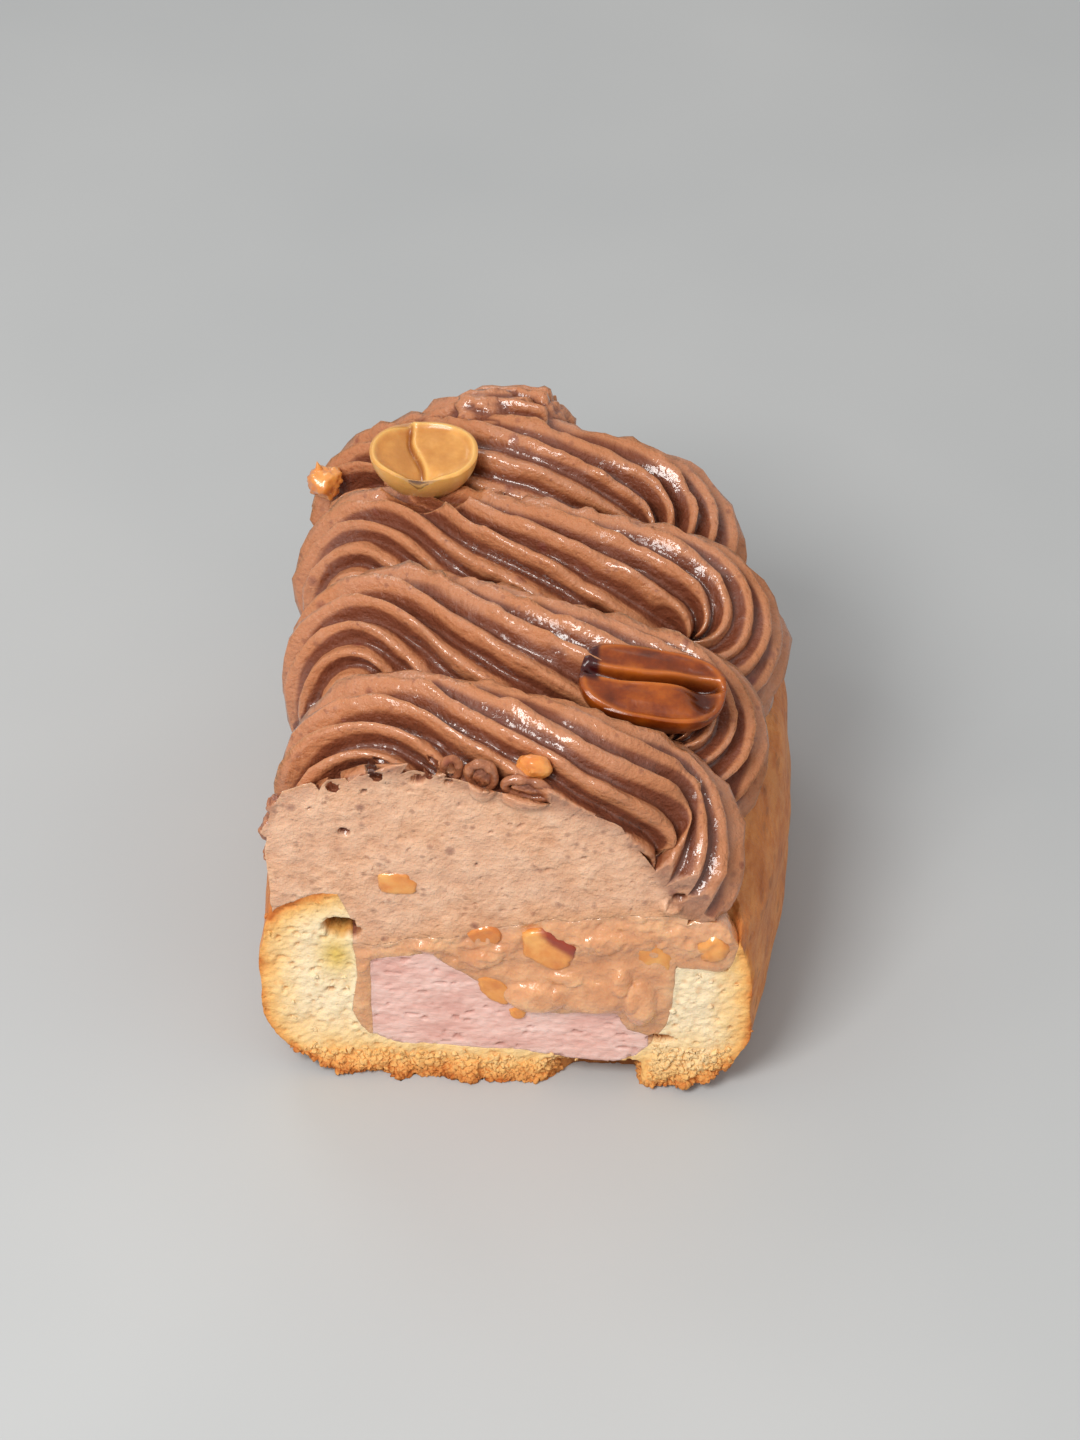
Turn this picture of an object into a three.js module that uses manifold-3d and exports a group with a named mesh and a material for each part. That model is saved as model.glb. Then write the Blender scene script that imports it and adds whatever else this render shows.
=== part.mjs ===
// Half of a filled eclair, cut across: a choux shell open at the top, layers of pink mousse and peanut
// caramel that show at the cut, and a chocolate cream piped over it in one long fluted zigzag.
// Millimetres, +Z up. The food is built with the cut face at y = 0 and its underside at z = 0.

import * as THREE from 'three';
import { mergeVertices } from 'three/addons/utils/BufferGeometryUtils.js';
import Module from 'manifold-3d';

const wasm = await Module();
wasm.setup();

// ---------------------------------------------------------------- driving dimensions

const GAP = 0.3;                    // clearance between neighbouring pieces
const REACH = 90;                   // larger than the whole eclair, for cutters
const PAST_CUT = 3;                 // how far pieces run past the cut face before they are cut

// Choux shell
const LENGTH = 64;                  // cut face to the rounded back end
const LEFT = 23.2;                  // half widths at the cut
const RIGHT = 24.3;
const SWELL_LEFT = 0.5;             // how far the sides swell behind the cut
const SWELL_RIGHT = 2.9;
const SWELL_AT = 27;                // where they are widest
const WAIST = 12;                   // height of the widest line
const ABOVE = 13.2;                 // section height above and below the waist
const BELOW = 12.6;
const SQUARE = 3.6;                 // how square the section is
const END_START = 36;               // where the back end begins to round off
const END_POWER = 2.5;
const RIM = 24.2;                   // height of the walls where the top was cut off
const RIM_DIP = 6.2;                // the right wall is broken down at the cut, inside its crust
const RIM_DIP_LONG = 3.2;
const RIM_EDGE = 23.2;
const RIM_FALL = 1.6;               // the right rim is lower than the left one
const FLOOR = 4.1;                  // underside of the filling
const TROUGH_END = 55;
const CRUST_BREAK = { x: 10.2, width: 7.6, top: 3.2, depth: 2.6 };
const AIR_HOLE = { x: -14.9, z: 20.3, across: 2.3, high: 2.0, deep: 3.0 };

// Piped rope
const TEETH = 15;                   // ridges round the rope
const ROPE = 8.1;                   // radius over the ridges
const GROOVE = 1.7;                 // depth of the grooves between them
const RIDGE_ROUND = 0.8;            // below 1 the ridges are fat and the grooves narrow
const TWIST = 0.5;                  // ridge turn for each turn of the rope's heading
const ROLL = 0.058;                 // and for each millimetre of rope, as it rolls while it is laid
const ROPE_STEP = 3.4;
const SAMPLES = 3;                  // points round the rope for each ridge
const TURN_CLEAR = 0.86;            // the inside of a bend is pressed flat short of its centre

// One stroke of the zigzag: over the fold at the left, across the top to the right while it sinks, over
// the fold at the right and back underneath to the left. Each point is [x, y from the stroke's middle, z].
const STROKE = [
  [-15.6, 2.3, 31.6], [-13.2, 3.4, 34.0], [-8, 2.5, 34.3], [-2, 0.6, 34.1], [4, -0.3, 33.1],
  [9.5, -0.3, 31.6], [13.8, -0.2, 30.2], [16.0, -1.8, 28.2], [14.6, -4.8, 26.0], [9, -7.0, 25],
  [0, -9.2, 25], [-9, -11.6, 26], [-13.8, -12.9, 27.8],
];
const STROKE_PITCH = 14.4;          // the pitch that STROKE is drawn for
const ASIDE = 14;                   // how far out a stroke's slant or sink is complete
const STROKES = [                   // the middle of each stroke, from the back to past the cut; slant is how
                                    // far its right end lies back, sink how far its left end lies lower
  { y: 49.4, x: -1.8, wide: 0.94, slant: 2.2, sink: 2.4 },
  { y: 35.6, x: 1.0, wide: 1.11 },
  { y: 20.4, x: 0.8, wide: 1.03 },
  { y: 6.8, x: 0.2, wide: 0.93 },
  { y: -7.8, x: 0.0, wide: 0.93 },
  { y: -22.2, x: 0.0, wide: 0.93 },
];
const START = [[1.6, 55.2, 36.0], [-3.6, 55.2, 34.4], [-9.2, 53.8, 30.4]];   // torn start of the rope
const START_THIN = 0.6;             // share of its thickness that the torn start has
const START_FILL = 9;               // how soon it is full

// Layers at the cut, as [x, z] from left to right
const CARAMEL_TOP = [[-18, 17], [-12, 17.4], [-9.4, 18], [-5.6, 18.9], [-2.7, 19.4], [1.1, 21],
  [4.9, 21.7], [8.6, 22.5], [13.3, 23.0], [20, 23.0]];
const MOUSSE = [[-12.4, 0], [-12.3, 15.3], [-9.6, 16.2], [-6.6, 16.6], [-2.8, 13.9], [2, 9.6],
  [6, 9.3], [11.4, 10.0], [12.4, 7.6], [14.4, 6.8], [14.2, 0]];
const WALL_INSIDE = [[-17.6, 30], [-15.2, 24.5], [-13.9, 19.9], [-13.7, 14], [-14.2, 8], [-12.8, 5.2],
  [-9.5, FLOOR], [10.5, FLOOR - 0.4], [14.4, 5.2], [16.2, 8.2], [16.7, 14], [17.2, 19], [18.4, 24], [19.6, 30]];

// Body of cream under the piping, as [x, z] round its section at the cut
const CREAM_BODY = [[-21.6, 20], [-22.0, 29], [-20.2, 36.2], [-15, 38.4], [-6, 38.8], [2, 37.4],
  [8, 35.4], [12.6, 32.2], [16.2, 29], [18.4, 26], [19.6, 20]];
const CREAM_END = 54;
const CREAM_NARROW = 0.88;          // share of that width behind the cut, where the folds hang over it

// Nut pieces: place, half sizes, turn about Y in degrees
const CHUNKS = {
  nut_piece_with_skin: { at: [4.6, 0.9, 17.9], half: [3.6, 2.6, 2.7], turn: 24, seed: 3 },
  nut_piece_pale: { at: [-1.4, 0.6, 19.3], half: [1.7, 1.6, 1.6], turn: 10, seed: 5 },
  nut_piece_golden: { at: [-0.4, 0.8, 12.3], half: [2.9, 1.9, 1.5], turn: 46, seed: 8 },
  nut_piece_glazed: { at: [14.8, 0.8, 17.4], half: [1.9, 1.9, 2.5], turn: -12, seed: 13 },
  nut_piece_on_rim: { at: [20.0, 1.6, 19.5], half: [2.1, 2.3, 2.4], turn: 8, seed: 21 },
  nut_piece_in_cream: { at: [-9.4, 0.7, 25.9], half: [2.3, 1.6, 1.9], turn: -8, seed: 34 },
  nut_crumb_at_cut: { at: [1.8, 0.3, 9.3], half: [0.95, 0.9, 0.9], turn: 0, seed: 55 },
  nut_piece_in_piping: { at: [3.4, 2.0, 39.6], half: [1.7, 1.3, 1.3], turn: 20, seed: 89 },
  nut_crumb_on_side: { at: [-21.6, 49.2, 33.9], half: [1.8, 1.7, 2.0], turn: 15, seed: 144 },
};
const RIM_BLOB = { at: [19.4, 0.6, 19.3], half: [3.3, 4.2, 3.6] };   // caramel over the broken wall

// Peanut halves lying flat side up: place of the middle of the flat side, length, width, depth, turns
const PEANUTS = {
  peanut_half_roasted: { at: [13.4, 15.3, 38.6], size: [13.9, 8.2, 4.8], yaw: -6, roll: 12, pitch: 5 },
  peanut_half_blanched: { at: [-11.0, 44.5, 42.2], size: [10.8, 8.0, 5.2], yaw: 1, roll: 8, pitch: 0 },
};
const PEANUT_GROOVE = { depth: 0.9, width: 0.16 };

// ---------------------------------------------------------------- small helpers

const rad = THREE.MathUtils.degToRad;
const clamp = THREE.MathUtils.clamp;
const mix = THREE.MathUtils.lerp;

/** Height on a line of [x, z] points. */
function along(line, x) {
  const next = line.findIndex((point) => point[0] >= x);
  if (next <= 0) return (next < 0 ? line.at(-1) : line[0])[1];
  const [a, b] = [line[next - 1], line[next]];
  return mix(a[1], b[1], (x - a[0]) / (b[0] - a[0]));
}

/** A slow, repeatable unevenness between about -1 and 1. */
function uneven(x, y, seed = 0) {
  return 0.6 * Math.sin(0.31 * x + 0.23 * y + seed) + 0.4 * Math.sin(0.17 * x - 0.41 * y + 2.3 * seed);
}

/** A manifold solid from a closed three.js geometry. */
function solid(geometry) {
  const bare = geometry.clone();
  bare.deleteAttribute('normal');
  bare.deleteAttribute('uv');
  const merged = mergeVertices(bare, 1e-5);
  const mesh = new wasm.Mesh({
    numProp: 3,
    vertProperties: new Float32Array(merged.attributes.position.array),
    triVerts: new Uint32Array(merged.index.array),
  });
  return new wasm.Manifold(mesh);
}

/** The three.js geometry of a manifold solid. */
function geometryOf(body) {
  const mesh = body.getMesh();
  const geometry = new THREE.BufferGeometry();
  geometry.setAttribute('position', new THREE.BufferAttribute(new Float32Array(mesh.vertProperties), 3));
  geometry.setIndex(new THREE.BufferAttribute(new Uint32Array(mesh.triVerts), 1));
  return geometry;
}

/** A closed tube through rings of points, each turning anticlockwise seen from the first, with fan ends. */
function loft(rings) {
  const count = rings[0].length;
  const middle = (ring) => ring.reduce((sum, p) => sum.add(p), new THREE.Vector3()).divideScalar(count);
  const points = [...rings.flat(), middle(rings[0]), middle(rings.at(-1))];
  const first = points.length - 2;
  const last = points.length - 1;
  const end = (rings.length - 1) * count;
  const faces = [];
  for (let j = 0; j < count; j++) {
    const k = (j + 1) % count;
    for (let i = 0; i + 1 < rings.length; i++) {
      const a = i * count + j;
      const b = i * count + k;
      faces.push(a, b + count, b, a, a + count, b + count);
    }
    faces.push(first, j, k, last, end + k, end + j);
  }
  const geometry = new THREE.BufferGeometry().setFromPoints(points);
  geometry.setIndex(faces);
  return geometry;
}

/** Everything below the height surface, down to far under the food. */
function below(surface, columns = 22, rows = 14) {
  const box = new THREE.BoxGeometry(REACH, REACH, REACH, columns, rows, 1);
  box.translate(0, REACH / 2 - PAST_CUT, 0);
  const place = box.attributes.position;
  for (let i = 0; i < place.count; i++) {
    const top = place.getZ(i) > 0;
    place.setZ(i, top ? surface(place.getX(i), place.getY(i)) : -REACH);
  }
  return solid(box);
}

/** An ellipsoid-like lump with an uneven surface. */
function lump(at, half, turn, seed, grow, rough) {
  const ball = new THREE.IcosahedronGeometry(1, 1);
  const place = ball.attributes.position;
  const point = new THREE.Vector3();
  for (let i = 0; i < place.count; i++) {
    point.fromBufferAttribute(place, i);
    const bump = 1 + rough * uneven(7 * point.x + 3 * point.z, 9 * point.y - 5 * point.z, seed);
    point.set(...half.map((size, axis) => point.getComponent(axis) * (size * bump + grow)));
    point.applyAxisAngle(new THREE.Vector3(0, 1, 0), rad(turn));
    place.setXYZ(i, point.x + at[0], point.y + at[1], point.z + at[2]);
  }
  return solid(ball);
}

/** Cuts away what lies in front of the cut face. */
function cutAcross(body) {
  const front = new THREE.BoxGeometry(2 * REACH, 2 * REACH, 2 * REACH);
  front.translate(0, -REACH, 0);
  return body.subtract(solid(front));
}

// ---------------------------------------------------------------- choux shell

/** How much of the full section is left at y, from 1 to 0 round the back end. */
function endScale(y, start, end) {
  const t = clamp((y - start) / (end - start), 0, 1);
  return (1 - t ** END_POWER) ** (1 / END_POWER);
}

/** Rings of a shape that runs along Y and rounds off at its end. */
function ringsAlong(start, end, ringAt, steps = 15) {
  const rings = [ringAt(-PAST_CUT, 1)];
  for (let i = 0; i <= steps; i++) {
    const y = end * Math.sin((i / steps) * Math.PI / 2) ** 0.9;
    const last = i === steps;
    rings.push(ringAt(last ? end : y, last ? 0.12 : Math.max(0.12, endScale(y, start, end))));
  }
  return rings;
}

function loaf(grow = 0, around = 38) {
  return solid(loft(ringsAlong(END_START, LENGTH + grow, (y, scale) => {
    const ring = [];
    const bulge = Math.sin(Math.PI * clamp(y / (2 * SWELL_AT), 0, 1));
    for (let i = 0; i < around; i++) {
      const angle = (2 * Math.PI * i) / around;
      const [c, s] = [Math.cos(angle), Math.sin(angle)];
      const half = grow + (c < 0 ? LEFT + SWELL_LEFT * bulge : RIGHT + SWELL_RIGHT * bulge);
      const x = half * scale * Math.sign(c) * Math.abs(c) ** (2 / SQUARE);
      const tall = (s < 0 ? BELOW : ABOVE) + grow;
      const z = WAIST + tall * scale ** 0.7 * Math.sign(s) * Math.abs(s) ** (2 / SQUARE);
      const lumpy = 0.25 * uneven(3 * z, y, 1);
      ring.push(new THREE.Vector3(x + lumpy * Math.sign(c), y, Math.max(z, -grow)));
    }
    return ring;
  })));
}

function trough(inset = 0) {
  return solid(loft(ringsAlong(30, TROUGH_END - inset, (y, scale) => WALL_INSIDE.map(([x, z]) => {
    const inward = inset * Math.sign(x);
    const rise = z < 9 ? inset : 0;
    const wander = 0.35 * uneven(z, y, 4);
    return new THREE.Vector3((x - inward + wander) * scale, y, z + rise + (1 - scale) * 4);
  }), 12)));
}

function rimHeight(x, y) {
  const inside = clamp((x - 12) / 2, 0, 1) * clamp((RIM_EDGE - x) / 1.2, 0, 1);
  const broken = RIM_DIP * inside * Math.exp(-((y / RIM_DIP_LONG) ** 2));
  const lower = RIM_FALL * clamp(x / 20, 0, 1);
  return RIM - lower - broken + 0.35 * uneven(2 * x, 1.4 * y, 2);
}

function shell(grow = 0) {
  const open = loaf(grow).intersect(below((x, y) => rimHeight(x, y) + grow, 20, 24));
  return open.subtract(trough(grow));
}

function chouxShell() {
  const hole = lump([AIR_HOLE.x, 0, AIR_HOLE.z], [AIR_HOLE.across / 2, AIR_HOLE.deep, AIR_HOLE.high / 2], 20, 7, 0, 0.2);
  const broken = lump([CRUST_BREAK.x, 0, 0], [CRUST_BREAK.width / 2, CRUST_BREAK.depth, CRUST_BREAK.top], 0, 9, 0, 0.2);
  return cutAcross(nutPockets(shell().subtract(hole).subtract(broken)));
}

// ---------------------------------------------------------------- filling

function mousseRegion(grow = 0) {
  const top = (x, z, y) => (z > 1 ? z + 0.5 * uneven(x, 1.3 * y, 3) * clamp(y / 6, 0, 1) : z);
  const ringAt = (y) => MOUSSE.map(([x, z]) => {
    const side = x < -12 ? -grow : (x > 12 ? grow : 0);
    const up = z > 1 ? grow : -grow;
    return new THREE.Vector3(x + side, y, top(x, z, y) + up);
  }).reverse();
  const rings = [];
  for (let y = -PAST_CUT; y <= 51 + grow; y += 4.5) rings.push(ringAt(y));
  return solid(loft(rings));
}

function pinkMousse() {
  return cutAcross(nutPockets(mousseRegion().intersect(trough(GAP))));
}

function caramelHeight(x, y) {
  return along(CARAMEL_TOP, x) + 0.5 * uneven(1.2 * x, y, 6) * clamp(y / 6, 0, 1);
}

function caramelOver(grow = 0) {
  return lump(RIM_BLOB.at, RIM_BLOB.half, 0, 11, grow, 0.1);
}

function caramel() {
  const layer = trough(GAP).intersect(below(caramelHeight)).subtract(mousseRegion(GAP));
  const whole = layer.add(caramelOver().subtract(shell(GAP)));
  return cutAcross(nutPockets(whole));
}

// ---------------------------------------------------------------- nuts

function chunk(name, grow = 0) {
  const { at, half, turn, seed } = CHUNKS[name];
  return lump(at, half, turn, seed, grow, 0.16);
}

/** Leaves room for every nut piece that is set in a body. */
function nutPockets(body) {
  return Object.keys(CHUNKS).reduce((rest, name) => rest.subtract(chunk(name, GAP)), body);
}

/** Half a peanut, flat side up with its groove, rounded below and pointed at the germ end. */
function peanutHalf(name, grow = 0) {
  const { at, size, yaw, roll, pitch } = PEANUTS[name];
  const [length, width, depth] = size;
  const ball = new THREE.SphereGeometry(1, 22, 12);
  ball.rotateX(Math.PI / 2);
  const place = ball.attributes.position;
  const turn = new THREE.Euler(rad(roll), rad(pitch), rad(yaw), 'ZYX');
  const point = new THREE.Vector3();
  for (let i = 0; i < place.count; i++) {
    point.fromBufferAttribute(place, i);
    const flat = Math.hypot(point.x, point.y);
    const narrow = 1 - 0.16 * point.x - 0.1 * point.x * point.x;
    const groove = PEANUT_GROOVE.depth * Math.exp(-((point.y / PEANUT_GROOVE.width) ** 2));
    const crown = 0.5 * (1 - flat * flat) - groove * (1 - flat ** 4);
    const z = point.z > 0 ? crown + grow : point.z * (depth + grow);
    point.set(point.x * (length / 2 + grow), point.y * (width / 2 * narrow + grow), z);
    point.applyEuler(turn);
    place.setXYZ(i, point.x + at[0], point.y + at[1], point.z + at[2]);
  }
  return solid(ball);
}

// ---------------------------------------------------------------- cream

/** The middle line of the rope, from its torn start at the back to past the cut. */
function ropeLine() {
  const points = START.map((p) => new THREE.Vector3(...p));
  for (let n = 0; n + 1 < STROKES.length; n++) {
    const [here, next] = [STROKES[n], STROKES[n + 1]];
    for (const [x, dy, z] of STROKE) {
      const share = clamp(-dy / STROKE_PITCH, 0, 1);
      const back = (here.slant ?? 0) * clamp(x / ASIDE, 0, 1);
      const lower = dy > 0 ? (here.sink ?? 0) * clamp(-x / ASIDE, 0, 1) : 0;
      const y = back + (dy > 0 ? here.y + dy : mix(here.y, next.y, share));
      const wide = mix(here.wide, next.wide, share);
      points.push(new THREE.Vector3(mix(here.x, next.x, share) + x * wide, y, z - lower));
    }
  }
  const curve = new THREE.CatmullRomCurve3(points, false, 'catmullrom', 0.5);
  curve.arcLengthDivisions = 2000;
  return curve.getSpacedPoints(Math.round(curve.getLength() / ROPE_STEP));
}

/** Up, left, bend, turn of the ridges and thickness at each point of the rope. */
function ropeFrames(line) {
  const step = (list, i) => list[Math.min(i + 1, list.length - 1)].clone()
    .sub(list[Math.max(i - 1, 0)]).divideScalar(i > 0 && i + 1 < list.length ? 2 : 1);
  const rates = line.map((_, i) => step(line, i));
  const ahead = rates.map((rate) => rate.clone().normalize());
  const frames = [];
  let up = new THREE.Vector3(0, 0, 1);
  let turned = 0;
  line.forEach((at, i) => {
    const length = rates[i].length();
    const bend = step(ahead, i).divideScalar(length);
    up = up.clone().addScaledVector(ahead[i], -up.dot(ahead[i])).normalize();
    turned += TWIST * ahead[i].clone().cross(bend).z * length - ROLL * length;
    const full = clamp(START_THIN + (1 - START_THIN) * i * ROPE_STEP / START_FILL, 0, 1);
    frames.push({ at, up, left: up.clone().cross(ahead[i]), bend, turned, full });
  });
  return frames;
}

/** One fluted ring of the rope. */
function ropeRing({ at, up, left, bend, turned, full }) {
  const ring = [];
  const tight = bend.length();
  const inward = bend.clone().normalize();
  for (let i = 0; i < TEETH * SAMPLES; i++) {
    const turn = (2 * Math.PI * i) / (TEETH * SAMPLES);
    const ridge = Math.abs(Math.sin(Math.PI * ((i / SAMPLES) % 1))) ** RIDGE_ROUND;
    const out = full * (ROPE - GROOVE * (1 - ridge));
    const angle = turn + turned;
    const point = up.clone().multiplyScalar(Math.cos(angle) * out);
    point.addScaledVector(left, Math.sin(angle) * out);
    const over = point.dot(inward) - TURN_CLEAR / Math.max(tight, 1e-6);
    if (over > 0) point.addScaledVector(inward, -over);
    ring.push(point.add(at));
  }
  return ring;
}

/** The rope as solids, one for each stretch between two folds. */
function ropePieces() {
  const line = ropeLine();
  const rings = ropeFrames(line).map(ropeRing);
  const folds = line.map((_, i) => i).filter((i) => i > 0 && i + 1 < line.length
    && (line[i].x - line[i - 1].x) * (line[i + 1].x - line[i].x) < 0);
  const ends = [0, ...folds, line.length - 1];
  return ends.slice(1).map((to, n) => solid(loft(rings.slice(ends[n], to + 1))));
}

function creamBody() {
  return solid(loft(ringsAlong(34, CREAM_END, (y, scale) => CREAM_BODY.map(([x, z]) => {
    const behind = clamp(y / 4, 0, 1);
    const sunk = z > 30 ? behind * 3.5 : 0;
    return new THREE.Vector3(x * Math.max(scale, 0.3) * mix(1, CREAM_NARROW, behind), y, z - sunk);
  }).reverse(), 12)));
}

function pipedCream() {
  const filling = trough(GAP).subtract(below(() => 16, 2, 2));
  let cream = filling.add(creamBody());
  for (const piece of ropePieces()) cream = cream.add(piece);
  cream = cream.subtract(shell(GAP));
  cream = cream.subtract(below((x, y) => caramelHeight(x, y) + GAP));
  cream = cream.subtract(caramelOver(GAP));
  for (const name of Object.keys(PEANUTS)) cream = cream.subtract(peanutHalf(name, GAP));
  return cutAcross(nutPockets(cream));
}

// ---------------------------------------------------------------- the eclair

const FINISHES = {
  crust: { color: 0xc98a45, roughness: 0.8, metalness: 0 },
  cream: { color: 0xa9745a, roughness: 0.5, metalness: 0 },
  pink: { color: 0xcf9f9b, roughness: 0.75, metalness: 0 },
  caramel: { color: 0xb57a4c, roughness: 0.25, metalness: 0 },
  nut: { color: 0xe0a04c, roughness: 0.45, metalness: 0 },
  roasted: { color: 0x9a4a18, roughness: 0.3, metalness: 0 },
};

/** The largest closed body of a solid, as a mesh with its node's name. */
function piece(name, body, finish) {
  const bodies = body.decompose().sort((a, b) => b.volume() - a.volume());
  const mesh = new THREE.Mesh(geometryOf(bodies[0]), new THREE.MeshStandardMaterial(FINISHES[finish]));
  mesh.name = name;
  return mesh;
}

const eclair = new THREE.Group();
eclair.add(piece('choux_shell', chouxShell(), 'crust'));
eclair.add(piece('pink_mousse', pinkMousse(), 'pink'));
eclair.add(piece('caramel_layer', caramel(), 'caramel'));
eclair.add(piece('piped_cream', pipedCream(), 'cream'));
eclair.add(piece('peanut_half_roasted', peanutHalf('peanut_half_roasted'), 'roasted'));
eclair.add(piece('peanut_half_blanched', peanutHalf('peanut_half_blanched'), 'nut'));
for (const name of Object.keys(CHUNKS)) eclair.add(piece(name, cutAcross(chunk(name)), 'nut'));

// The part's origin is the middle of its bounding box at the underside.
const box = new THREE.Box3().setFromObject(eclair);
const middle = box.getCenter(new THREE.Vector3());
eclair.position.set(-middle.x, -middle.y, -box.min.z);
eclair.updateMatrixWorld(true);

export default eclair;
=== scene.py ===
"""Half of a filled eclair, cut across: choux shell, pink mousse, nut caramel and piped chocolate cream.

The pieces are drawn in millimetres with the cut face at y = 0 and the underside at z = 0, and `settle`
moves each of them into the part's own frame in metres.
"""
import math
from functools import partialmethod

import bmesh
import bpy
import numpy as np
from mathutils import Matrix, Vector

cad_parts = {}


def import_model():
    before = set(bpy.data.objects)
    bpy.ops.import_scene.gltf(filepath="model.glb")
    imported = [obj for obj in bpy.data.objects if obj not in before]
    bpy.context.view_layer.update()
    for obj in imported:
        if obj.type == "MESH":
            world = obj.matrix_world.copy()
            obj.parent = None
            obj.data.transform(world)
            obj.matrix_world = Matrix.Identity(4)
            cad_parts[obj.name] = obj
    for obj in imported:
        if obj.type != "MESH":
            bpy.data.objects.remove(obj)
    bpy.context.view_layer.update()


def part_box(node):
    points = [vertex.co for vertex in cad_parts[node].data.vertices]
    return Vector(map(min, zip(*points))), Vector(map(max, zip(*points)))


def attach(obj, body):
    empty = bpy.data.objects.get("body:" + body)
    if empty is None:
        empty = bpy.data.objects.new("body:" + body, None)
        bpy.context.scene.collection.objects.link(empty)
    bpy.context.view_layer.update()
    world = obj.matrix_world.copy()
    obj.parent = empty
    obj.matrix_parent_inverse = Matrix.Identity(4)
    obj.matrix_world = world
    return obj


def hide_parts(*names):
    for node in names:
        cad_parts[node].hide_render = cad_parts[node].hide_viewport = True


MM = 0.001
BODY = "root"

# ---------------------------------------------------------------- camera and light
VIEW = {"turn": 4.3, "rise": 42.0, "far": 385.0, "at": (1.758, 28.837, 21.121), "lens": 96.5}
SHELL_CORNER = (-23.855, 0.0, 0.0)        # lowest corner of the shell as drawn
SKY, SKY_STRENGTH = (1.0, 0.985, 0.965, 1), 0.66
LAMP_COLOUR, LAMPS_AIM = (1.0, 0.98, 0.95), (0, 0, 0.015)
LAMPS = [("window", (-0.122, -0.238, 0.317), 0.145, 1.22), ("room", (-0.22, 0.30, 0.42), 0.16, 0.25)]

# ---------------------------------------------------------------- choux shell
PAST_CUT = 3.0
LENGTH = 64.0
LEFT, RIGHT = 23.2, 24.3
SWELL_LEFT, SWELL_RIGHT, SWELL_AT = 0.5, 2.9, 27.0
WAIST, ABOVE, BELOW = 12.0, 13.2, 12.6
SQUARE = 3.6
END_START, END_POWER, END_LEAST, END_TALL = 36.0, 2.5, 0.05, 0.7
RIM, RIM_DIP, RIM_DIP_LONG, RIM_EDGE, RIM_FALL = 24.2, 6.2, 3.2, 23.2, 1.6
RIM_GRID = ((-30, 30.1, 0.55), (-5, 70, 0.7), -3)  # x and y as start, end and step, and the bottom
TROUGH_START, TROUGH_END = 30.0, 55.0
WALL_INSIDE = [(-17.6, 30), (-15.2, 24.5), (-13.9, 19.9), (-13.7, 14), (-14.2, 8), (-12.8, 5.2),
               (-9.5, 4.1), (2.0, 4.0), (6.0, 3.1), (11.0, 2.7), (13.4, 3.9), (14.6, 5.4),
               (16.2, 8.2), (16.7, 14), (17.2, 19), (18.4, 24), (19.6, 30)]

# ---------------------------------------------------------------- filling, as [x, z] at the cut
CARAMEL_TOP = [(-18, 17), (-12, 17.4), (-9.4, 18), (-5.6, 18.9), (-2.7, 19.4), (1.1, 21), (4.9, 21.7),
               (8.6, 22.5), (13.3, 23.0), (20, 23.0)]
MOUSSE = [(-12.4, 0), (-12.3, 15.3), (-9.6, 16.2), (-6.6, 16.6), (-2.8, 13.9), (2, 9.6), (6, 9.3),
          (11.4, 10.0), (12.4, 7.6), (14.4, 6.8), (14.2, 0)]
MOUSSE_END = 51.0
RIM_BLOB = {"at": (19.4, 0.6, 19.3), "half": (3.3, 4.2, 3.6)}
CREAM_BODY = [(-21.4, 20), (-21.9, 29), (-21.3, 33), (-20.0, 37.0), (-16, 38.5), (-11, 39.7), (-7, 40.1),
              (-4, 39.6), (0.3, 37.9), (5.8, 37.0), (11.3, 34.5), (13.9, 30.4), (16.2, 26.0),
              (17.6, 23.4), (19.0, 20)]
NOTCHES = {"at": -13.4, "apart": 3.0, "deep": 1.2, "span": (-18.5, -8.5)}
FILLED_TO = 23.0                          # the cream fills the hollow up to here below the piping
LAYER_GRID = ((-27, 27.1, 0.6), (-4, 60, 0.8), -2)
LEVEL_GRID = ((-30, 30.1, 0.8), (-5, 70, 0.8), -3)
CREAM_START, CREAM_END, CREAM_NARROW = 34.0, 54.0, 0.975

# ---------------------------------------------------------------- piped rope
TEETH = 15
ROPE, GROOVE, RIDGE_ROUND = 8.15, 2.0, 0.8
TWIST, ROLL = 0.5, 0.058
ROPE_STEP = 0.65
ROUND_STEPS = TEETH * 8
TURN_CLEAR = 0.86
STROKE = [(-15.9, 2.3, 31.8), (-13.4, 3.4, 34.2), (-8, 2.5, 34.3), (-2, 0.6, 34.1), (4, -0.3, 33.1),
          (9.5, -0.3, 31.6), (13.8, -0.2, 30.2), (16.0, -1.8, 28.2), (14.6, -4.8, 26.0), (9, -7.0, 25),
          (0, -9.2, 25), (-9, -11.6, 26), (-13.8, -12.9, 27.8)]
STROKE_PITCH = 14.4
ASIDE = 14.0
STROKES = [{"y": 49.2, "x": -1.9, "wide": 0.92, "slant": 0.3, "sink": 4.6},
           {"y": 35.2, "x": 1.0, "wide": 1.10, "sink": 1.5},
           {"y": 20.4, "x": 0.8, "wide": 1.03},
           {"y": 6.8, "x": 0.9, "wide": 0.90, "forward": 2.6, "tuck": 1.7, "inward": 0.92,
            "drop": 2.6, "after": 3.0},
           {"y": -7.8, "x": 0.0, "wide": 0.93},
           {"y": -22.2, "x": 0.0, "wide": 0.93}]
START = [(1.6, 55.2, 36.0), (-3.6, 55.2, 34.4), (-9.2, 53.8, 30.4)]
START_THIN, START_FILL = 0.6, 9.0
TORN_START = ((-4.2, 55.6, 38.4), (4.8, 2.2, 2.6), 6, 77, 0.45)    # where the piping was pulled off
FRONT_LOOP = {"y": 5.0, "reach": 6.0, "swell": 0.08}
PLEATED = 0.75                            # 0 for rounded ridges, 1 for sharp ones with wide grooves
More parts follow.
